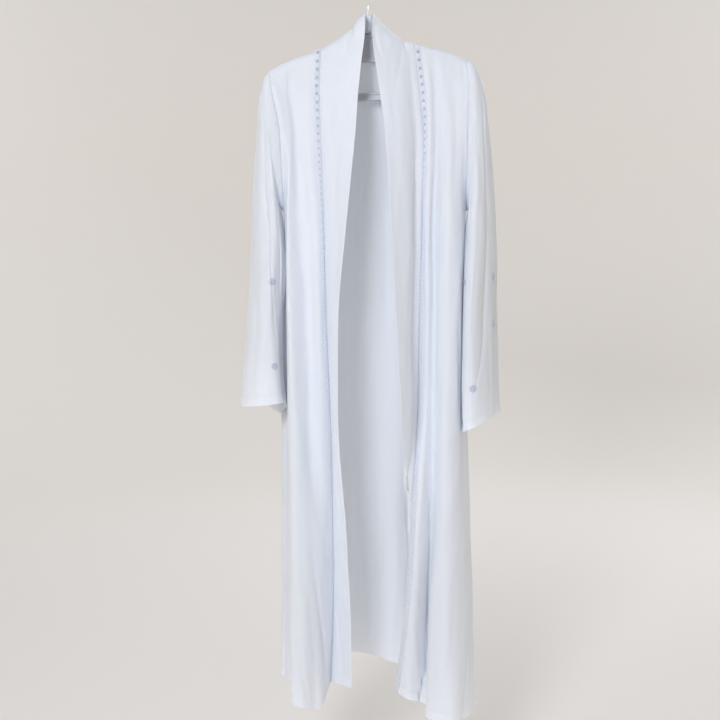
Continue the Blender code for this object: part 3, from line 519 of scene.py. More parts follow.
def armhole_line(columns, levels, side):
    """Points of the armhole, an upright ellipse between the underarm and the shoulder tip."""
    top_x, hem, *places = columns
    controls = fold_line(hem, places)
    tip = shoulder_points([top_x])[0]
    points = smooth_curve(range(YOKE + 1), controls, np.minimum(levels, YOKE))
    above = (levels > YOKE)[:, None]
    share = np.clip(levels - YOKE, 0, 1)[:, None]
    points = np.where(above, points + (tip - points) * share, points)
    under = LEVEL_HEIGHTS[UNDERARM - 1]
    height = (2 * points[:, 2] - tip[2] - under) / (tip[2] - under)
    depth = ARMHOLE_FRONT if side < 0 else ARMHOLE_BACK
    points[:, 1] = side * depth * np.sqrt(np.maximum(0, 1 - height * height))
    return points


def side_line(columns, levels, side):
    free = panel_line(columns, levels, side)
    held = armhole_line(columns, levels, side)
    return np.where((levels < UNDERARM)[:, None], free, held)


def across_rows(lines, places):
    """Rows of points from lines (line, level, xyz), at places counted in lines."""
    lines = np.asarray(lines)
    knots = range(len(lines))
    return np.stack([smooth_curve(knots, lines[:, r], places) for r in range(lines.shape[1])])


def front_surface(table, levels, shares):
    """Rows of a front from the hem to the shoulder, each from the band seam to the side."""
    *inner, side_columns = table.values()
    lines = [panel_line(columns, levels, -1) for columns in inner]
    lines.append(side_line(side_columns, levels, -1))
    rows = across_rows(lines, shares * (len(lines) - 1))
    for r in np.flatnonzero(levels > YOKE):
        settle = (levels[r] - YOKE) ** SHOULDER_SETTLE
        rows[r, :, 2] += (arm_top(rows[r, :, 0]) + TOP_CLEARANCE - across_top(lines, shares)) * settle
    return rows


def across_top(lines, shares):
    """Heights that a row's curve takes on the shoulder itself."""
    top = np.asarray(lines)[:, -1:]
    return across_rows(top, shares * (len(lines) - 1))[0, :, 2]


def neckline_points(table, side, levels):
    knots = [SHOULDER] + [row[0] for row in table]
    values = [shoulder_points([side * NECK_X])[0]] + [row[1:] for row in table]
    return smooth_curve(knots, values, levels)


def back_top():
    """Points along the back's top edge, from the right shoulder tip over the neck to the left."""
    right_tip = RIGHT_FRONT["side_seam"][0]
    left_tip = LEFT_FRONT["side_seam"][0]
    neck = np.linspace(SHOULDER, NECK_END, TOP_POINTS)
    parts = [
        shoulder_points(np.linspace(right_tip, -NECK_X, TOP_POINTS)),
        neckline_points(RIGHT_NECKLINE, -1, neck),
        neckline_points(LEFT_NECKLINE, 1, neck[::-1]),
        shoulder_points(np.linspace(NECK_X, left_tip, TOP_POINTS)),
    ]
    return np.concatenate(parts)


def back_surface(levels, shares):
    """Rows of the back, each from the wearer's right side to the left."""
    right_side = RIGHT_FRONT["side_seam"]
    left_side = LEFT_FRONT["side_seam"]
    low = np.minimum(levels, YOKE)
    lines = [side_line(right_side, low, 1)]
    lines += [panel_line(columns, low, 1) for columns in BACK.values()]
    lines.append(side_line(left_side, low, 1))
    last = len(lines) - 1
    places = shares * last
    rows = across_rows(lines, places)
    tops = [right_side[0]] + [columns[0] for columns in BACK.values()] + [left_side[0]]
    edge = back_top()
    x = np.interp(places, range(last + 1), tops)
    top = np.stack([x, np.interp(x, edge[:, 0], edge[:, 1]), np.interp(x, edge[:, 0], edge[:, 2])], axis=1)
    right_end = armhole_line(right_side, levels, 1)
    left_end = armhole_line(left_side, levels, 1)
    near_right = np.clip(1 - places, 0, 1)[:, None] ** 2
    near_left = np.clip(1 - (last - places), 0, 1)[:, None] ** 2
    for r in np.flatnonzero(levels > YOKE):
        row = over_shoulder(rows[r], top, np.full(len(x), levels[r] - YOKE), 1)
        row += (right_end[r] - row[0]) * near_right + (left_end[r] - row[-1]) * near_left
        rows[r] = row
    return rows


def band_surface(front, band, collar, neckline, side, sag, levels, shares):
    """Rows of a band from the hem over the shoulder to the centre back, seam to free edge."""
    below = np.minimum(levels, SHOULDER)
    seam = panel_line(front["band_seam"], below, -1)
    around = levels > SHOULDER
    seam[around] = neckline_points(neckline, side, levels[around])
    low = np.minimum(levels, YOKE)
    middle = smooth_curve(range(YOKE + 1), fold_line(band["middle"][0], band["middle"][1:]), low)
    edge = smooth_curve(range(YOKE + 1), fold_line(band["edge"][0], band["edge"][1:]), low)
    yoke_seam = panel_line(front["band_seam"], np.array([float(YOKE)]), -1)[0]
    above = levels > YOKE
    if above.any():
        bow = middle[above][0] - (yoke_seam + edge[above][0]) / 2
        level = levels[above]
        free = smooth_curve([row[0] for row in collar], [row[1:] for row in collar], level)
        share = np.where(level < SHOULDER, level - YOKE, NECK_END - level)
        half = (seam[above] + free) / 2 + bow * np.maximum(0, SHOULDER - level)[:, None]
        half[:, 2] -= sag * share
        middle[above] = half
        edge[above] = free
    return across_rows([seam, middle, edge], shares * 2)


def fold_height(folds, ring, angles):
    """How far the sleeve's folds or drops move points, at a ring and an array of angles."""
    height = np.zeros_like(angles)
    for centre, width, depth, first, last in folds:
        if first < ring < last:
            fade = math.sin(math.pi * (ring - first) / (last - first))
            turn = (angles - centre + 180) % 360 - 180
            height += depth * fade * np.exp(-((turn / width) ** 2))
    return height


def armhole_loop(front, side_columns, levels):
    """Armhole points with their angle: down the front from the tip, then up the back."""
    down = armhole_line(side_columns, levels, -1)
    up = armhole_line(side_columns, levels[::-1], 1)[1:]
    loop = np.concatenate([down, up])
    tip = loop[0, 2]
    under = LEVEL_HEIGHTS[UNDERARM - 1]
    share = np.clip((2 * loop[:, 2] - tip - under) / (tip - under), -1, 1)
    angles = np.degrees(np.arccos(share))
    angles[len(down):] = 360 - angles[len(down):]
    return loop, angles


def sleeve_surface(front, rings, folds, drops, side, ring_places, shares):
    """Rings of a sleeve from the armhole to the cuff; each starts at the outer line."""
    side_columns = front["side_seam"]
    coarse = np.array(ARMHOLE_LEVELS, float)
    coarse_angles = armhole_loop(front, side_columns, coarse)[1]
    count = len(coarse_angles) - 1
    start_angles = np.interp(shares * count, range(count + 1), coarse_angles)
    fine = np.concatenate([np.linspace(*span) for span in LOOP_LEVELS])
    loop, loop_angles = armhole_loop(front, side_columns, fine)
    rows = [np.stack([np.interp(start_angles, loop_angles, loop[:, k]) for k in range(3)], axis=1)]
    for number, (outer, inner, front_depth, back_depth, lean, drop) in enumerate(rings, start=1):
        evenness = min(1, (number - 1) / EVEN_RING)
        half = np.array([outer[0] - inner[0], 0, outer[1] - inner[1]]) / 2
        middle = np.array([outer[0] + inner[0], back_depth - front_depth, outer[1] + inner[1]]) / 2
        deep = (front_depth + back_depth) / 2
        angle = start_angles + (360 * shares - start_angles) * evenness
        turn = np.radians(angle)
        out = fold_height(folds, number, angle)
        ring = middle + half * (np.cos(turn) * (1 + out / np.linalg.norm(half)))[:, None]
        away = -(deep + out) * np.sin(turn)
        fall = fold_height(drops, number, angle)
        ring = ring + np.stack([side * lean * away, away, fall - drop * away], axis=1)
        rows.append(ring)
    rows = np.array(rows)
    knots = running(np.linalg.norm(np.diff(rows, axis=0), axis=2).mean(axis=1))
    at = np.interp(ring_places, range(len(knots)), knots)
    return np.stack([smooth_curve(knots, rows[:, c], at) for c in range(rows.shape[1])], axis=1)


def spaced(surface, levels, shares, axis, step, near_start, near_end):
    """Parameters a step apart along the levels (axis 0) or the shares (axis 1) of a surface, with
    further ones at the given distances from the start and the end."""
    grid = surface(levels, shares)
    lengths = running(np.linalg.norm(np.diff(grid, axis=axis), axis=2).mean(axis=1 - axis))
    whole = lengths[-1]
    places = list(np.linspace(0, whole, max(2, round(whole / step)) + 1))
    extra = list(near_start) + [whole - distance for distance in near_end]
    room = step * ROW_CLEARANCE
    places = [p for p in places if all(abs(p - e) > room for e in extra) or p in (0, whole)]
    return np.interp(sorted(set(places + extra)), lengths, (levels, shares)[axis])


class Sheet:
    """A grid of points with its outward normals and the distances along its rows and columns."""

    def __init__(self, name, points, turn, closed):
        self.name = name
        self.points = points
        self.turn = turn
        self.closed = closed
        self.measure()

    def measure(self):
        points = self.points
        if self.closed:
            padded = np.concatenate([points[:, -2:-1], points, points[:, 1:2]], axis=1)
            across = padded[:, 2:] - padded[:, :-2]
        else:
            across = np.gradient(points, axis=1)
        normals = np.cross(np.gradient(points, axis=0), across) * self.turn
        length = np.linalg.norm(normals, axis=2, keepdims=True)
        self.normals = normals / np.maximum(length, 1e-9)
        self.along = running(np.linalg.norm(np.diff(points, axis=1), axis=2), 1)
        self.up = running(np.linalg.norm(np.diff(points, axis=0), axis=2))

    def push(self, height):
        """Moves the points out by the heights."""
        self.points = self.points + self.normals * height[..., None]
        self.measure()

    def at(self, row, distance):
        """Point and normal at a row counted in rows and a distance from its start."""
        first = int(min(row, len(self.points) - 2))
        share = row - first
        found = []
        for r in (first, first + 1):
            found.append(np.array([[np.interp(distance, self.along[r], grid[r, :, k]) for k in range(3)]
                                   for grid in (self.points, self.normals)]))
        place, out = found[0] * (1 - share) + found[1] * share
        return place, out / np.linalg.norm(out)


def seam_distance(sheet, row_start, row_end, column_start, column_end):
    """Distance from each point to the nearest of the edges that are sewn."""
    edges = ((row_start, sheet.along), (row_end, sheet.along[:, -1:] - sheet.along),
             (column_start, sheet.up), (column_end, sheet.up[-1:] - sheet.up))
    return np.min([distance for sewn, distance in edges if sewn], axis=0)


def crease_heights(across, down, creases, around=None):
    """Heights of the creases; across and down place each point, around is each row's girth."""
    height = np.zeros_like(across)
    for number, (line, low, high, depth) in enumerate(creases):
        places = np.array(line, float)
        knots = running(np.hypot(*np.diff(places, axis=0).T))
        fine = np.linspace(0, knots[-1], CREASE_POINTS)
        curve = smooth_curve(knots, places, fine)
        order = np.argsort(curve[:, 1])
        centre = np.interp(down, curve[order, 1], curve[order, 0])
        share = np.interp(down, curve[order, 1], fine[order] / knots[-1], left=-1, right=-1)
        slope = np.interp(down, curve[order, 1], np.gradient(curve[:, 0], curve[:, 1])[order])
        if around is None:
            offset = across - centre
        else:
            turn = (across / around * 360 - centre + 180) % 360 - 180
            offset = turn / 360 * around
            slope = slope / 360 * around
        length, longer = WANDER_LENGTH
        offset = offset + CREASE_WANDER * np.sin(down / (length + longer * number) + number)
        offset = offset / np.hypot(1, slope)
        width = np.where(offset < 0, low, high)
        fade = np.where(share < 0, 0, np.sin(math.pi * np.clip(share, 0, 1)) ** CREASE_TAPER)
        length, longer = SWELL_LENGTH
        fade = fade * (1 + CREASE_SWELL * np.sin(down / (length + longer * number) + 2 * number))
        height += depth * fade * np.exp(-(np.abs(offset) / width) ** CREASE_SHAPE)
    return height


def undulation(across, down, phase):
    height = np.zeros_like(across)
    for number, (wide, long, amount) in enumerate(UNDULATIONS):
        lean = WAVE_LEAN * np.sin(down / (long * WAVE_LEAN_LENGTH) + phase + number)
        height += amount * (np.sin(2 * math.pi * across / wide + lean + phase * (number + 1))
                            * np.sin(2 * math.pi * down / long + WAVE_SHIFT * phase + number))
    return height


def undulation_round(sheet, around, phase):
    """Whole waves round a sleeve, so that its seam stays closed."""
    height = np.zeros_like(around)
    first, more = WAVES_ROUND
    for number, (_, long, amount) in enumerate(UNDULATIONS):
        waves = 2 * math.pi * (first + more * number) * sheet.along / around
        height += amount * np.sin(waves + phase + number) * np.sin(2 * math.pi * sheet.up / long + phase)
    return height


def hem_heights(distance):
    """Flare of a hem's edge and the dip of its stitches, at distances from the edge."""
    stitch = -HEM_STITCH * np.exp(-(((distance - HEM_DEPTH) / HEM_STITCH_WIDTH) ** 2))
    return stitch + HEM_FLARE * np.exp(-distance / HEM_FLARE_REACH)


def crease_sheet(name, sheet, phase):
    """Creases a sheet, with stiff sewn edges that stay where they meet the next piece."""
    if sheet.closed:
        around = sheet.along[:, -1:] + 0 * sheet.along
        height = crease_heights(sheet.along, sheet.up, CREASES[name], around)
        height += undulation_round(sheet, around, phase)
        edge = seam_distance(sheet, False, False, True, False)
        hem = hem_heights(sheet.up[-1:] - sheet.up)
        gathers = np.round(around / PUCKER_LENGTH) * sheet.along / around
    else:
        down = sheet.points[..., 2]
        height = crease_heights(sheet.along, down, CREASES[name])
        height += undulation(sheet.along, down, phase)
        edge = seam_distance(sheet, True, not name.startswith("band"), False, True)
        hem = hem_heights(sheet.up) * np.clip(edge / SEAM_STIFFNESS, 0, 1)
        gathers = (sheet.up + PUCKER_DRIFT * np.sin(sheet.up / PUCKER_DRIFT_LENGTH)) / PUCKER_LENGTH
    height *= np.clip(edge / SEAM_STIFFNESS, 0, 1) ** 2
    height += hem
    pucker = PUCKER_HEIGHT * np.sin(2 * math.pi * gathers)
    sheet.push(height + pucker * (edge / PUCKER_RISE) * np.exp(-edge / PUCKER_REACH))


def nearest_normals(points, others, normals):
    """Normal at the nearest of the other points to each point."""
    gaps = np.linalg.norm(points[:, None] - others[None], axis=2)
    return normals[gaps.argmin(axis=1)]


def unit(vectors):
    return vectors / np.linalg.norm(vectors, axis=-1, keepdims=True)


def groove_armholes(sheets):
    """Draws the cloth in along the armhole seams, both sides of a seam alike."""
    under = LEVEL_HEIGHTS[UNDERARM - 1]
    for side, back_column in (("right", 0), ("left", -1)):
        sleeve = sheets["sleeve_" + side]
        tip = sleeve.points[0, :, 2].max()

        def depth(z):
            return GROOVE * np.clip((tip - z) / GROOVE_FADE, 0, 1) * np.clip((z - under) / GROOVE_END, 0, 1)

        edges = []
        for name, column in (("front_" + side, -1), ("back", back_column)):
            panel = sheets[name]
            edges.append((panel, column, panel.points[:, column], panel.normals[:, column]))
        seam = sleeve.points[0]
        others = nearest_normals(seam, np.concatenate([edge[2] for edge in edges]),
                                 np.concatenate([edge[3] for edge in edges]))
        inward = unit(sleeve.normals[0] + others)
        push = depth(seam[:, 2]) * np.exp(-sleeve.up / GROOVE_REACH)
        for panel, column, points, normals in edges:
            shared = unit(normals + nearest_normals(points, seam, sleeve.normals[0]))
            away = abs(panel.along - panel.along[:, column:column + 1 or None])
            drawn = depth(points[:, 2])[:, None] * np.exp(-away / GROOVE_REACH)
            panel.points = panel.points - shared[:, None] * drawn[..., None]
        sleeve.points = sleeve.points - inward[None] * push[..., None]
        sleeve.measure()
    for name in ("front_right", "front_left", "back"):
        sheets[name].measure()


def build_sheets():
    """The seven cloth pieces as fine sheets."""
    # Surface, its last level, and which way its rows turn round the cloth's outward side
    pieces = {
        "front_right": (partial(front_surface, RIGHT_FRONT), SHOULDER, 1),
        "front_left": (partial(front_surface, LEFT_FRONT), SHOULDER, -1),
        "back": (back_surface, SHOULDER, 1),
        "band_right": (partial(band_surface, RIGHT_FRONT, RIGHT_BAND, RIGHT_COLLAR, RIGHT_NECKLINE,
                               -1, RIGHT_COLLAR_SAG), NECK_END, -1),
        "band_left": (partial(band_surface, LEFT_FRONT, LEFT_BAND, LEFT_COLLAR, LEFT_NECKLINE,
                              1, LEFT_COLLAR_SAG), NECK_END, 1),
        "sleeve_right": (partial(sleeve_surface, RIGHT_FRONT, RIGHT_SLEEVE, RIGHT_SLEEVE_FOLDS,
                                 RIGHT_CUFF_DROPS, -1), len(RIGHT_SLEEVE), 1),
        "sleeve_left": (partial(sleeve_surface, LEFT_FRONT, LEFT_SLEEVE, LEFT_SLEEVE_FOLDS,
                                LEFT_CUFF_DROPS, 1), len(LEFT_SLEEVE), -1),
    }
    sheets = {}
    for name, (surface, last, turn) in pieces.items():
        closed = name.startswith("sleeve")
        ends = (EDGE_ROWS, HEM_ROWS) if closed else (HEM_ROWS, EDGE_ROWS)
        sides = () if closed else EDGE_ROWS
        fine, coarse = SPACING_SAMPLES
        step = GRID_STEPS[name]
        levels = spaced(surface, np.linspace(0, last, fine), np.linspace(0, 1, coarse), 0, step, *ends)
        shares = spaced(surface, np.linspace(0, last, coarse), np.linspace(0, 1, fine), 1, step, sides, sides)
        sheets[name] = Sheet(name + "_cloth", surface(levels, shares), turn, closed)
        crease_sheet(name, sheets[name], len(sheets) * PHASE_STEP)
    groove_armholes(sheets)
    return sheets


def add_object(name, data):
    made = bpy.data.objects.new(name, data)
    bpy.context.scene.collection.objects.link(made)
    return made


def make_mesh(name, points, faces, material):
    mesh = bpy.data.meshes.new(name)
    mesh.from_pydata(points, [], faces)
    mesh.materials.append(material)
    mesh.shade_smooth()
    mesh.set_sharp_from_angle(angle=math.radians(SHARP_ANGLE))
    return add_object(name, mesh)


def quads_of(rows, columns):
    """Corner numbers of the quads of a grid of points."""
    number = np.arange(rows * columns).reshape(rows, columns)
    corners = (number[:-1, :-1], number[:-1, 1:], number[1:, 1:], number[1:, :-1])
    return np.stack(corners, axis=-1).reshape(-1, 4)


def sheet_object(sheet, material):
    """A thin shell on the sheet, with a UV map in metres along its rows and columns."""
    rows, columns = sheet.points.shape[:2]
    kept = columns - 1 if sheet.closed else columns
    places = sheet.points[:, :kept].reshape(-1, 3) * MM
    corners = quads_of(rows, columns)
    if sheet.turn > 0:
        corners = corners[:, ::-1]
    row, column = np.divmod(corners, columns)
    made = make_mesh(sheet.name, places.tolist(), (row * kept + column % kept).tolist(), material)
    uv = np.stack([sheet.along[row, column], sheet.up[row, column]], axis=-1)
    layer = made.data.uv_layers.new(name="cloth")
    layer.data.foreach_set("uv", (uv * MM).ravel())
    shell = made.modifiers.new("Solidify", "SOLIDIFY")
    shell.thickness = SHELL * MM
    shell.offset = 0
    return made


def set_inputs(material, node, inputs):
    """Gives inputs of a node, by name or number, a value or another node's output."""
    for name, value in inputs.items():
        if isinstance(value, bpy.types.NodeSocket):
            material.node_tree.links.new(value, node.inputs[name])
        else:
            node.inputs[name].default_value = value


def set_shader(material, inputs):
    set_inputs(material, material.node_tree.nodes["Principled BSDF"], inputs)


def add_node(material, kind, inputs, **settings):
    node = material.node_tree.nodes.new("ShaderNode" + kind)
    for name, value in settings.items():
        setattr(node, name, value)
    set_inputs(material, node, inputs)
    return node


def make_material(name, inputs):
    material = bpy.data.materials.new(name)
    material.use_nodes = True
    set_shader(material, inputs)
    return material


def calculate(material, kind, *values):
    return add_node(material, "Math", dict(enumerate(values)), operation=kind).outputs[0]


def noise(material, scale, detail, stretch=(1, 1, 1)):
    """Noise over the object, in its own metres."""
    place = add_node(material, "TexCoord", {}).outputs["Object"]
    mapped = add_node(material, "Mapping", {"Vector": place, "Scale": stretch}).outputs["Vector"]
    inputs = {"Vector": mapped, "Scale": scale, "Detail": detail}
    return add_node(material, "TexNoise", inputs).outputs["Fac"]


def vary_colour(material, factor, first, second):
    inputs = {"Factor": factor, "A": (*first, 1), "B": (*second, 1)}
    mix = add_node(material, "Mix", inputs, data_type="RGBA")
    set_shader(material, {"Base Color": mix.outputs["Result"]})


def vary_roughness(material, factor, spread, least):
    spread = calculate(material, "MULTIPLY", factor, spread)
    set_shader(material, {"Roughness": calculate(material, "ADD", spread, least)})


def add_bumps(material, *layers):
    """Bumps over each other; a layer is its height, from another node, and its depth in mm."""
    under = {}
    for height, depth in layers:
        inputs = {"Height": height, "Distance": depth * MM, "Strength": 1, **under}
        under = {"Normal": add_node(material, "Bump", inputs).outputs["Normal"]}
    set_shader(material, under)


def cloth_material():
    """Crepe: a fine plain weave with an uneven grain and a soft sheen."""
    material = make_material("crepe", {
        "Roughness": 0.62, "Sheen Weight": 0.22, "Sheen Roughness": 0.45,
        "Subsurface Weight": 1, "Subsurface Radius": (1, 1, 1), "Subsurface Scale": 2.5 * MM})
    place = add_node(material, "UVMap", {}, uv_map="cloth").outputs["UV"]
    parts = add_node(material, "SeparateXYZ", {"Vector": place})
    threads = []
    for axis in "XY":
        turns = calculate(material, "MULTIPLY", parts.outputs[axis], 2 * math.pi / (WEAVE_STEP * MM))
        threads.append(calculate(material, "SINE", turns))
    add_bumps(material, (calculate(material, "MULTIPLY", *threads), 0.03),
              (noise(material, 700, 3), 0.10), (noise(material, 90, 2, (1, 1, 0.35)), 0.25))
    vary_colour(material, noise(material, 9, 2, (1, 1, 0.4)), *CREPE)
    return material


def thread_material():
    """Stitched thread of the rosettes: fine uneven ridges with a satin sheen."""
    material = make_material("rosette_thread", {
        "Roughness": 0.45, "Sheen Weight": 0.3, "Sheen Roughness": 0.45})
    add_bumps(material, (noise(material, 700, 2, (1, 1, 0.25)), 0.25), (noise(material, 2100, 1), 0.08))
    vary_colour(material, noise(material, 700 / 3, 2), *THREAD)
    return material


def glossy_material(name, roughness):
    return make_material(name, {"Roughness": roughness, "Coat Weight": 0.6, "Coat Roughness": 0.12})


def bead_material(name, colours, roughness):
    """Glass or pearl bead: glossy, slightly uneven from bead to bead."""
    material = glossy_material(name, roughness)
    vary_colour(material, noise(material, 160, 1), *colours)
    return material


def grey_bead_material():
    """Grey beads, darker near the shoulder than at the hem."""
    material = glossy_material("grey_beads", 0.32)
    place = add_node(material, "TexCoord", {}).outputs["Object"]
    height = add_node(material, "SeparateXYZ", {"Vector": place}).outputs["Z"]
    dark, light = GREY_FADE
    fade = add_node(material, "MapRange", {"Value": height, "From Min": dark * MM, "From Max": light * MM})
    vary_colour(material, fade.outputs["Result"], *GREY)
    return material


def plastic_material():
    """Moulded plastic: faint texture of the mould and slightly worn gloss."""
    material = make_material("moulded_plastic", {})
    add_bumps(material, (noise(material, 900, 2), 0.03))
    vary_colour(material, noise(material, 30, 3), *PLASTIC)
    vary_roughness(material, noise(material, 45, 4), 0.3, 0.25)
    return material


def wire_material():
    """Pale satin wire with fine drawing lines."""
    material = make_material("pale_wire", {"Metallic": 0.35})
    add_bumps(material, (noise(material, 1500, 2, (1, 1, 0.1)), 0.01))
    vary_colour(material, noise(material, 120, 3), *WIRE)
    vary_roughness(material, noise(material, 200, 3), 0.25, 0.22)
    return material


def point_at(thing, place, target):
    thing.location = place
    aim = Vector(target) - Vector(place)
    thing.rotation_euler = aim.to_track_quat("-Z", "Y").to_euler()


def add_camera():
    data = bpy.data.cameras.new("camera")
    data.angle = math.radians(VIEW_ANGLE)
    data.clip_end = VIEW_END
    camera = add_object("camera", data)
    point_at(camera, CAMERA_PLACE, CAMERA_AIM)
    bpy.context.scene.camera = camera


def add_lights():
    for name, (place, target, size, power) in LIGHTS.items():
        data = bpy.data.lights.new(name, "AREA")
        data.shape = "DISK"
        data.size = size
        data.energy = power
        data.color = LIGHT_COLOUR
        light = add_object(name, data)
        light.visible_camera = False
        point_at(light, place, target)
    world = bpy.data.worlds.new("studio")
    world.use_nodes = True
    sky = world.node_tree.nodes["Background"]
    sky.inputs["Color"].default_value = (*WORLD_COLOUR, 1)
    sky.inputs["Strength"].default_value = WORLD_STRENGTH
    bpy.context.scene.world = world


def add_stage():
    """Round pale floor that sweeps up into a wall all round."""
    profile = [(STAGE_RADIUS - STAGE_SWEEP, FLOOR_HEIGHT)]
    for step in range(1, STAGE_SWEEP_STEPS + 1):
        turn = math.pi / 2 * step / STAGE_SWEEP_STEPS
        profile.append((STAGE_RADIUS - STAGE_SWEEP * (1 - math.sin(turn)),
                        FLOOR_HEIGHT + STAGE_SWEEP * (1 - math.cos(turn))))
    profile.append((STAGE_RADIUS, FLOOR_HEIGHT + STAGE_WALL))
    points = [(0, 0, FLOOR_HEIGHT)]
    for radius, height in profile:
        for side in range(STAGE_SIDES):
            turn = 2 * math.pi * side / STAGE_SIDES
            points.append((radius * math.cos(turn), radius * math.sin(turn), height))
    faces = []
    for side in range(STAGE_SIDES):
        after = (side + 1) % STAGE_SIDES
        faces.append((0, 1 + side, 1 + after))
        for low in range(1, 1 + (len(profile) - 1) * STAGE_SIDES, STAGE_SIDES):
            high = low + STAGE_SIDES
            faces.append((low + side, high + side, high + after, low + after))
    material = make_material("stage", {
        "Base Color": (*STAGE_COLOUR, 1), "Roughness": STAGE_ROUGHNESS,
        "Emission Color": (*GLOW_COLOUR, 1), "Emission Strength": GLOW})
    make_mesh("floor", points, faces, material)


def bead_form(fineness):
    """Points and faces of a ball of radius 1."""
    shape = bmesh.new()
    bmesh.ops.create_icosphere(shape, subdivisions=fineness, radius=1)
    points = np.array([vert.co for vert in shape.verts])
    faces = np.array([[vert.index for vert in face.verts] for face in shape.faces])
    shape.free()
    return points, faces


def join_beads(fineness, beads, look):
    """Points, faces and material of beads; a bead is (centre, three axes with its radii)."""
    points, faces = bead_form(fineness)
    centres = np.array([centre for centre, _ in beads])
    axes = np.array([radii for _, radii in beads])
    placed = np.einsum("pk,bkj->bpj", points, axes) + centres[:, None]
    numbers = faces[None] + np.arange(len(beads))[:, None, None] * len(points)
    return placed.reshape(-1, 3), numbers.reshape(-1, 3), look


def mesh_object(name, groups):
    """One smooth object of (points, faces, material) groups, in millimetres."""
    mesh = bpy.data.meshes.new(name)
    points = []
    faces = []
    slots = []
    for number, (group_points, group_faces, material) in enumerate(groups):
        faces += [[corner + len(points) for corner in face] for face in group_faces]
        points += [tuple(point * MM) for point in group_points]
        slots += [number] * len(group_faces)
        mesh.materials.append(material)
    mesh.from_pydata(points, [], faces)
    mesh.polygons.foreach_set("material_index", slots)
    mesh.shade_smooth()
    return add_object(name, mesh)


def bead_on(sheet, row, distance, radii, lift):
    """Centre and axes of a bead on the sheet: along the row, up the sheet, and out."""
    place, out = sheet.at(row, distance)
    above, _ = sheet.at(min(row + 1, len(sheet.points) - 1.01), distance)
    up = above - place
    up -= out * up.dot(out)
    up /= max(np.linalg.norm(up), 1e-9)
    side = np.cross(up, out)
    wide, long, thick = radii
    return place + out * lift, np.array([side * wide, up * long, out * thick])


def braid_ribbon(sheet, row_at, whole, look):
    """Ribbed ribbon under the beads, a little higher along its middle."""
    offsets = np.linspace(0, BRAID_WIDTH, BRAID_COLUMNS)
    crown = np.sin(np.pi * offsets / BRAID_WIDTH) * BRAID_CROWN
    top = []
    low = []
    for number, place in enumerate(np.arange(BRAID_FOOT, whole, BRAID_STEP)):
        lift = BRAID_LIFT + BRAID_RIB * (number % 2)
        for offset, extra in zip(offsets, crown):
            point, out = sheet.at(row_at(place), BRAID_START + offset)
            top.append(point + out * (lift + extra))
            low.append(top[-1] - out * BRAID_THICK)
    under = len(top)
    grid = np.arange(under).reshape(-1, BRAID_COLUMNS)
    quads = quads_of(*grid.shape)
    rim = [*grid[0, :-1], *grid[:-1, -1], *grid[-1, :0:-1], *grid[:0:-1, 0]]
    sides = [(a, a + under, b + under, b) for a, b in zip(rim, rim[1:] + rim[:1])]
    turn = -1 if sheet.turn > 0 else 1
    faces = [face[::turn] for face in quads.tolist()]
    faces += [face[::-turn] for face in (quads + under).tolist()]
    faces += [face[::turn] for face in sides]
    return np.array(top + low), faces, look


def braid(name, sheet, ribbon_look, grey_look, white_look):
    """Beaded braid beside the band seam, from the hem to the shoulder."""
    middle = BRAID_START + BRAID_WIDTH / 2
    column = np.argmin(abs(sheet.along[len(sheet.points) // 2] - middle))
    length = sheet.up[:, column]
    whole = length[-1] - BRAID_END

    def row_at(distance):
        return np.interp(distance, length, range(len(length)))

    def white_bead(place, sway):
        seat = BRAID_LIFT + WHITE_BEAD[2] * BEAD_SEAT
        white.append(bead_on(sheet, row_at(min(place, whole)), middle + side * sway, WHITE_BEAD, seat))

    grey = []
    white = []
    shares, *bead_columns = zip(*GREY_BEADS)
    place = FIRST_BEAD
    side = 1
    while place < whole - LAST_BEAD:
        step, spread, wide, long = (np.interp(place / whole, shares, column) for column in bead_columns)
        thick = wide * GREY_THICKNESS
        seat = BRAID_LIFT + thick * BEAD_SEAT
        grey.append(bead_on(sheet, row_at(place), middle + side * spread, (wide, long, thick), seat))
        beside = wide + WHITE_BEAD[0] + BEAD_GAP
        white_bead(place, -max(spread, beside))
        white_bead(place + step / 2, 0)
        if spread < ONE_COLUMN:
            white_bead(place, beside)
            for share in FLANK_SHARES:
                white_bead(place + share * step, -FLANK)
                white_bead(place + share * step, FLANK)
        place += step
        side = -side
    for distance in PICOT_PLACES:
        for place in np.arange(PICOT_START, whole, PICOT_STEP):
            white.append(bead_on(sheet, row_at(place), distance, PICOT, BRAID_LIFT))
    return mesh_object(name, [braid_ribbon(sheet, row_at, whole, ribbon_look),
                              join_beads(FINE_BALL, grey, grey_look),
                              join_beads(PLAIN_BALL, white, white_look)])


def cloth_tree(sheet):
    """Search tree over a sheet's quads."""
    quads = quads_of(*sheet.points.shape[:2])
    return BVHTree.FromPolygons(sheet.points.reshape(-1, 3).tolist(), quads.tolist())


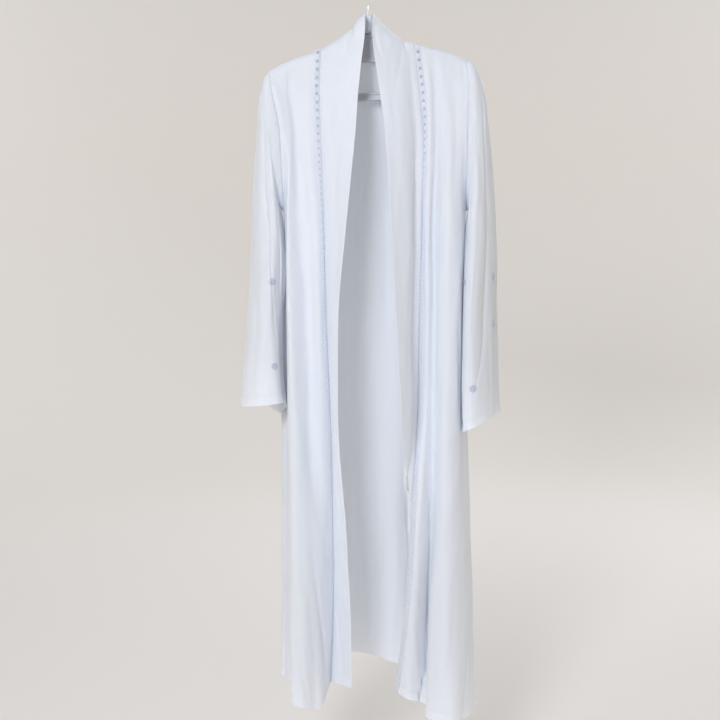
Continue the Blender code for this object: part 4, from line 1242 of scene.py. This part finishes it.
def rosette(name, node, tree, middle, thread_look, bead_look):
    """Embroidered rosette that lies on the cloth where the CAD disc is."""
    spots = np.array([vert.co for vert in node.data.vertices]) / MM
    centre = spots.mean(axis=0)
    across = spots[1] - spots[0]
    out = np.linalg.svd(spots - centre)[2][2]
    if out.dot(centre - middle) < 0:
        out = -out
    right = unit(across - out * across.dot(out))
    up = np.cross(out, right)

    def seated(distance, angle, radii, lift):
        radial = right * math.cos(angle) + up * math.sin(angle)
        spot = centre + radial * distance
        hit, normal, *_ = tree.ray_cast(Vector(spot + out * PROBE_START), Vector(-out), PROBE_REACH)
        if hit is None:
            hit = spot - out * MISS_DEPTH
            normal = out
        normal = np.array(normal)
        if normal.dot(out) < 0:
            normal = -normal
        radial = unit(radial - normal * radial.dot(normal))
        long, wide, thick = radii
        axes = np.array([radial * long, np.cross(normal, radial) * wide, normal * thick])
        return np.array(hit) + normal * (SHELL / 2 + lift), axes

    petals = []
    for petal in range(PETALS):
        angle = 2 * math.pi * petal / PETALS
        petals.append(seated(PETAL_PLACE, angle, PETAL, PETAL_LIFT))
        petals.append(seated(INNER_PLACE, angle + math.pi / PETALS, INNER_PETAL, INNER_LIFT))
    beads = [seated(0, 0, ROSETTE_MIDDLE, MIDDLE_LIFT)]
    for seed in range(SEEDS):
        beads.append(seated(SEED_RING, 2 * math.pi * seed / SEEDS, [SEED_RADIUS] * 3, SEED_LIFT))
    return mesh_object(name, [join_beads(FINE_BALL, petals, thread_look),
                              join_beads(PLAIN_BALL, beads, bead_look)])


def sleeve_rosettes(side, sheet, thread_look, bead_look):
    """The rosettes of one sleeve, each in place of its CAD disc."""
    made = []
    tree = cloth_tree(sheet)
    for name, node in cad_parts.items():
        if name.startswith("motif_" + side):
            height = np.mean([vert.co.z for vert in node.data.vertices]) / MM
            row = np.argmin(abs(sheet.points[..., 2].mean(axis=1) - height))
            middle = sheet.points[row].mean(axis=0)
            made.append(rosette(name.replace("motif", "rosette"), node, tree, middle, thread_look, bead_look))
            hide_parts(name)
    return made


def main():
    bpy.context.scene.view_settings.view_transform = "Standard"
    add_camera()
    add_lights()
    add_stage()
    cloth = cloth_material()
    grey_look = grey_bead_material()
    white_look = bead_material("white_beads", WHITE, 0.35)
    thread_look = thread_material()
    seed_look = bead_material("seed_beads", SEED, 0.25)
    plastic = plastic_material()
    steel = wire_material()
    for name, sheet in build_sheets().items():
        piece = sheet_object(sheet, cloth)
        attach(piece, "root")
        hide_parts(name)
        kind, _, side = name.partition("_")
        trims = []
        if kind == "front":
            trims.append(braid("braid_" + side, sheet, cloth, grey_look, white_look))
            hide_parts("trim_" + side)
        if kind == "sleeve":
            trims = sleeve_rosettes(side, sheet, thread_look, seed_look)
        for made in trims:
            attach(made, "root")
    for name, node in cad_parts.items():
        if name.startswith("hanger"):
            metal = name in ("hanger_hook", "hanger_socket")
            node.material_slots[0].material = steel if metal else plastic


main()
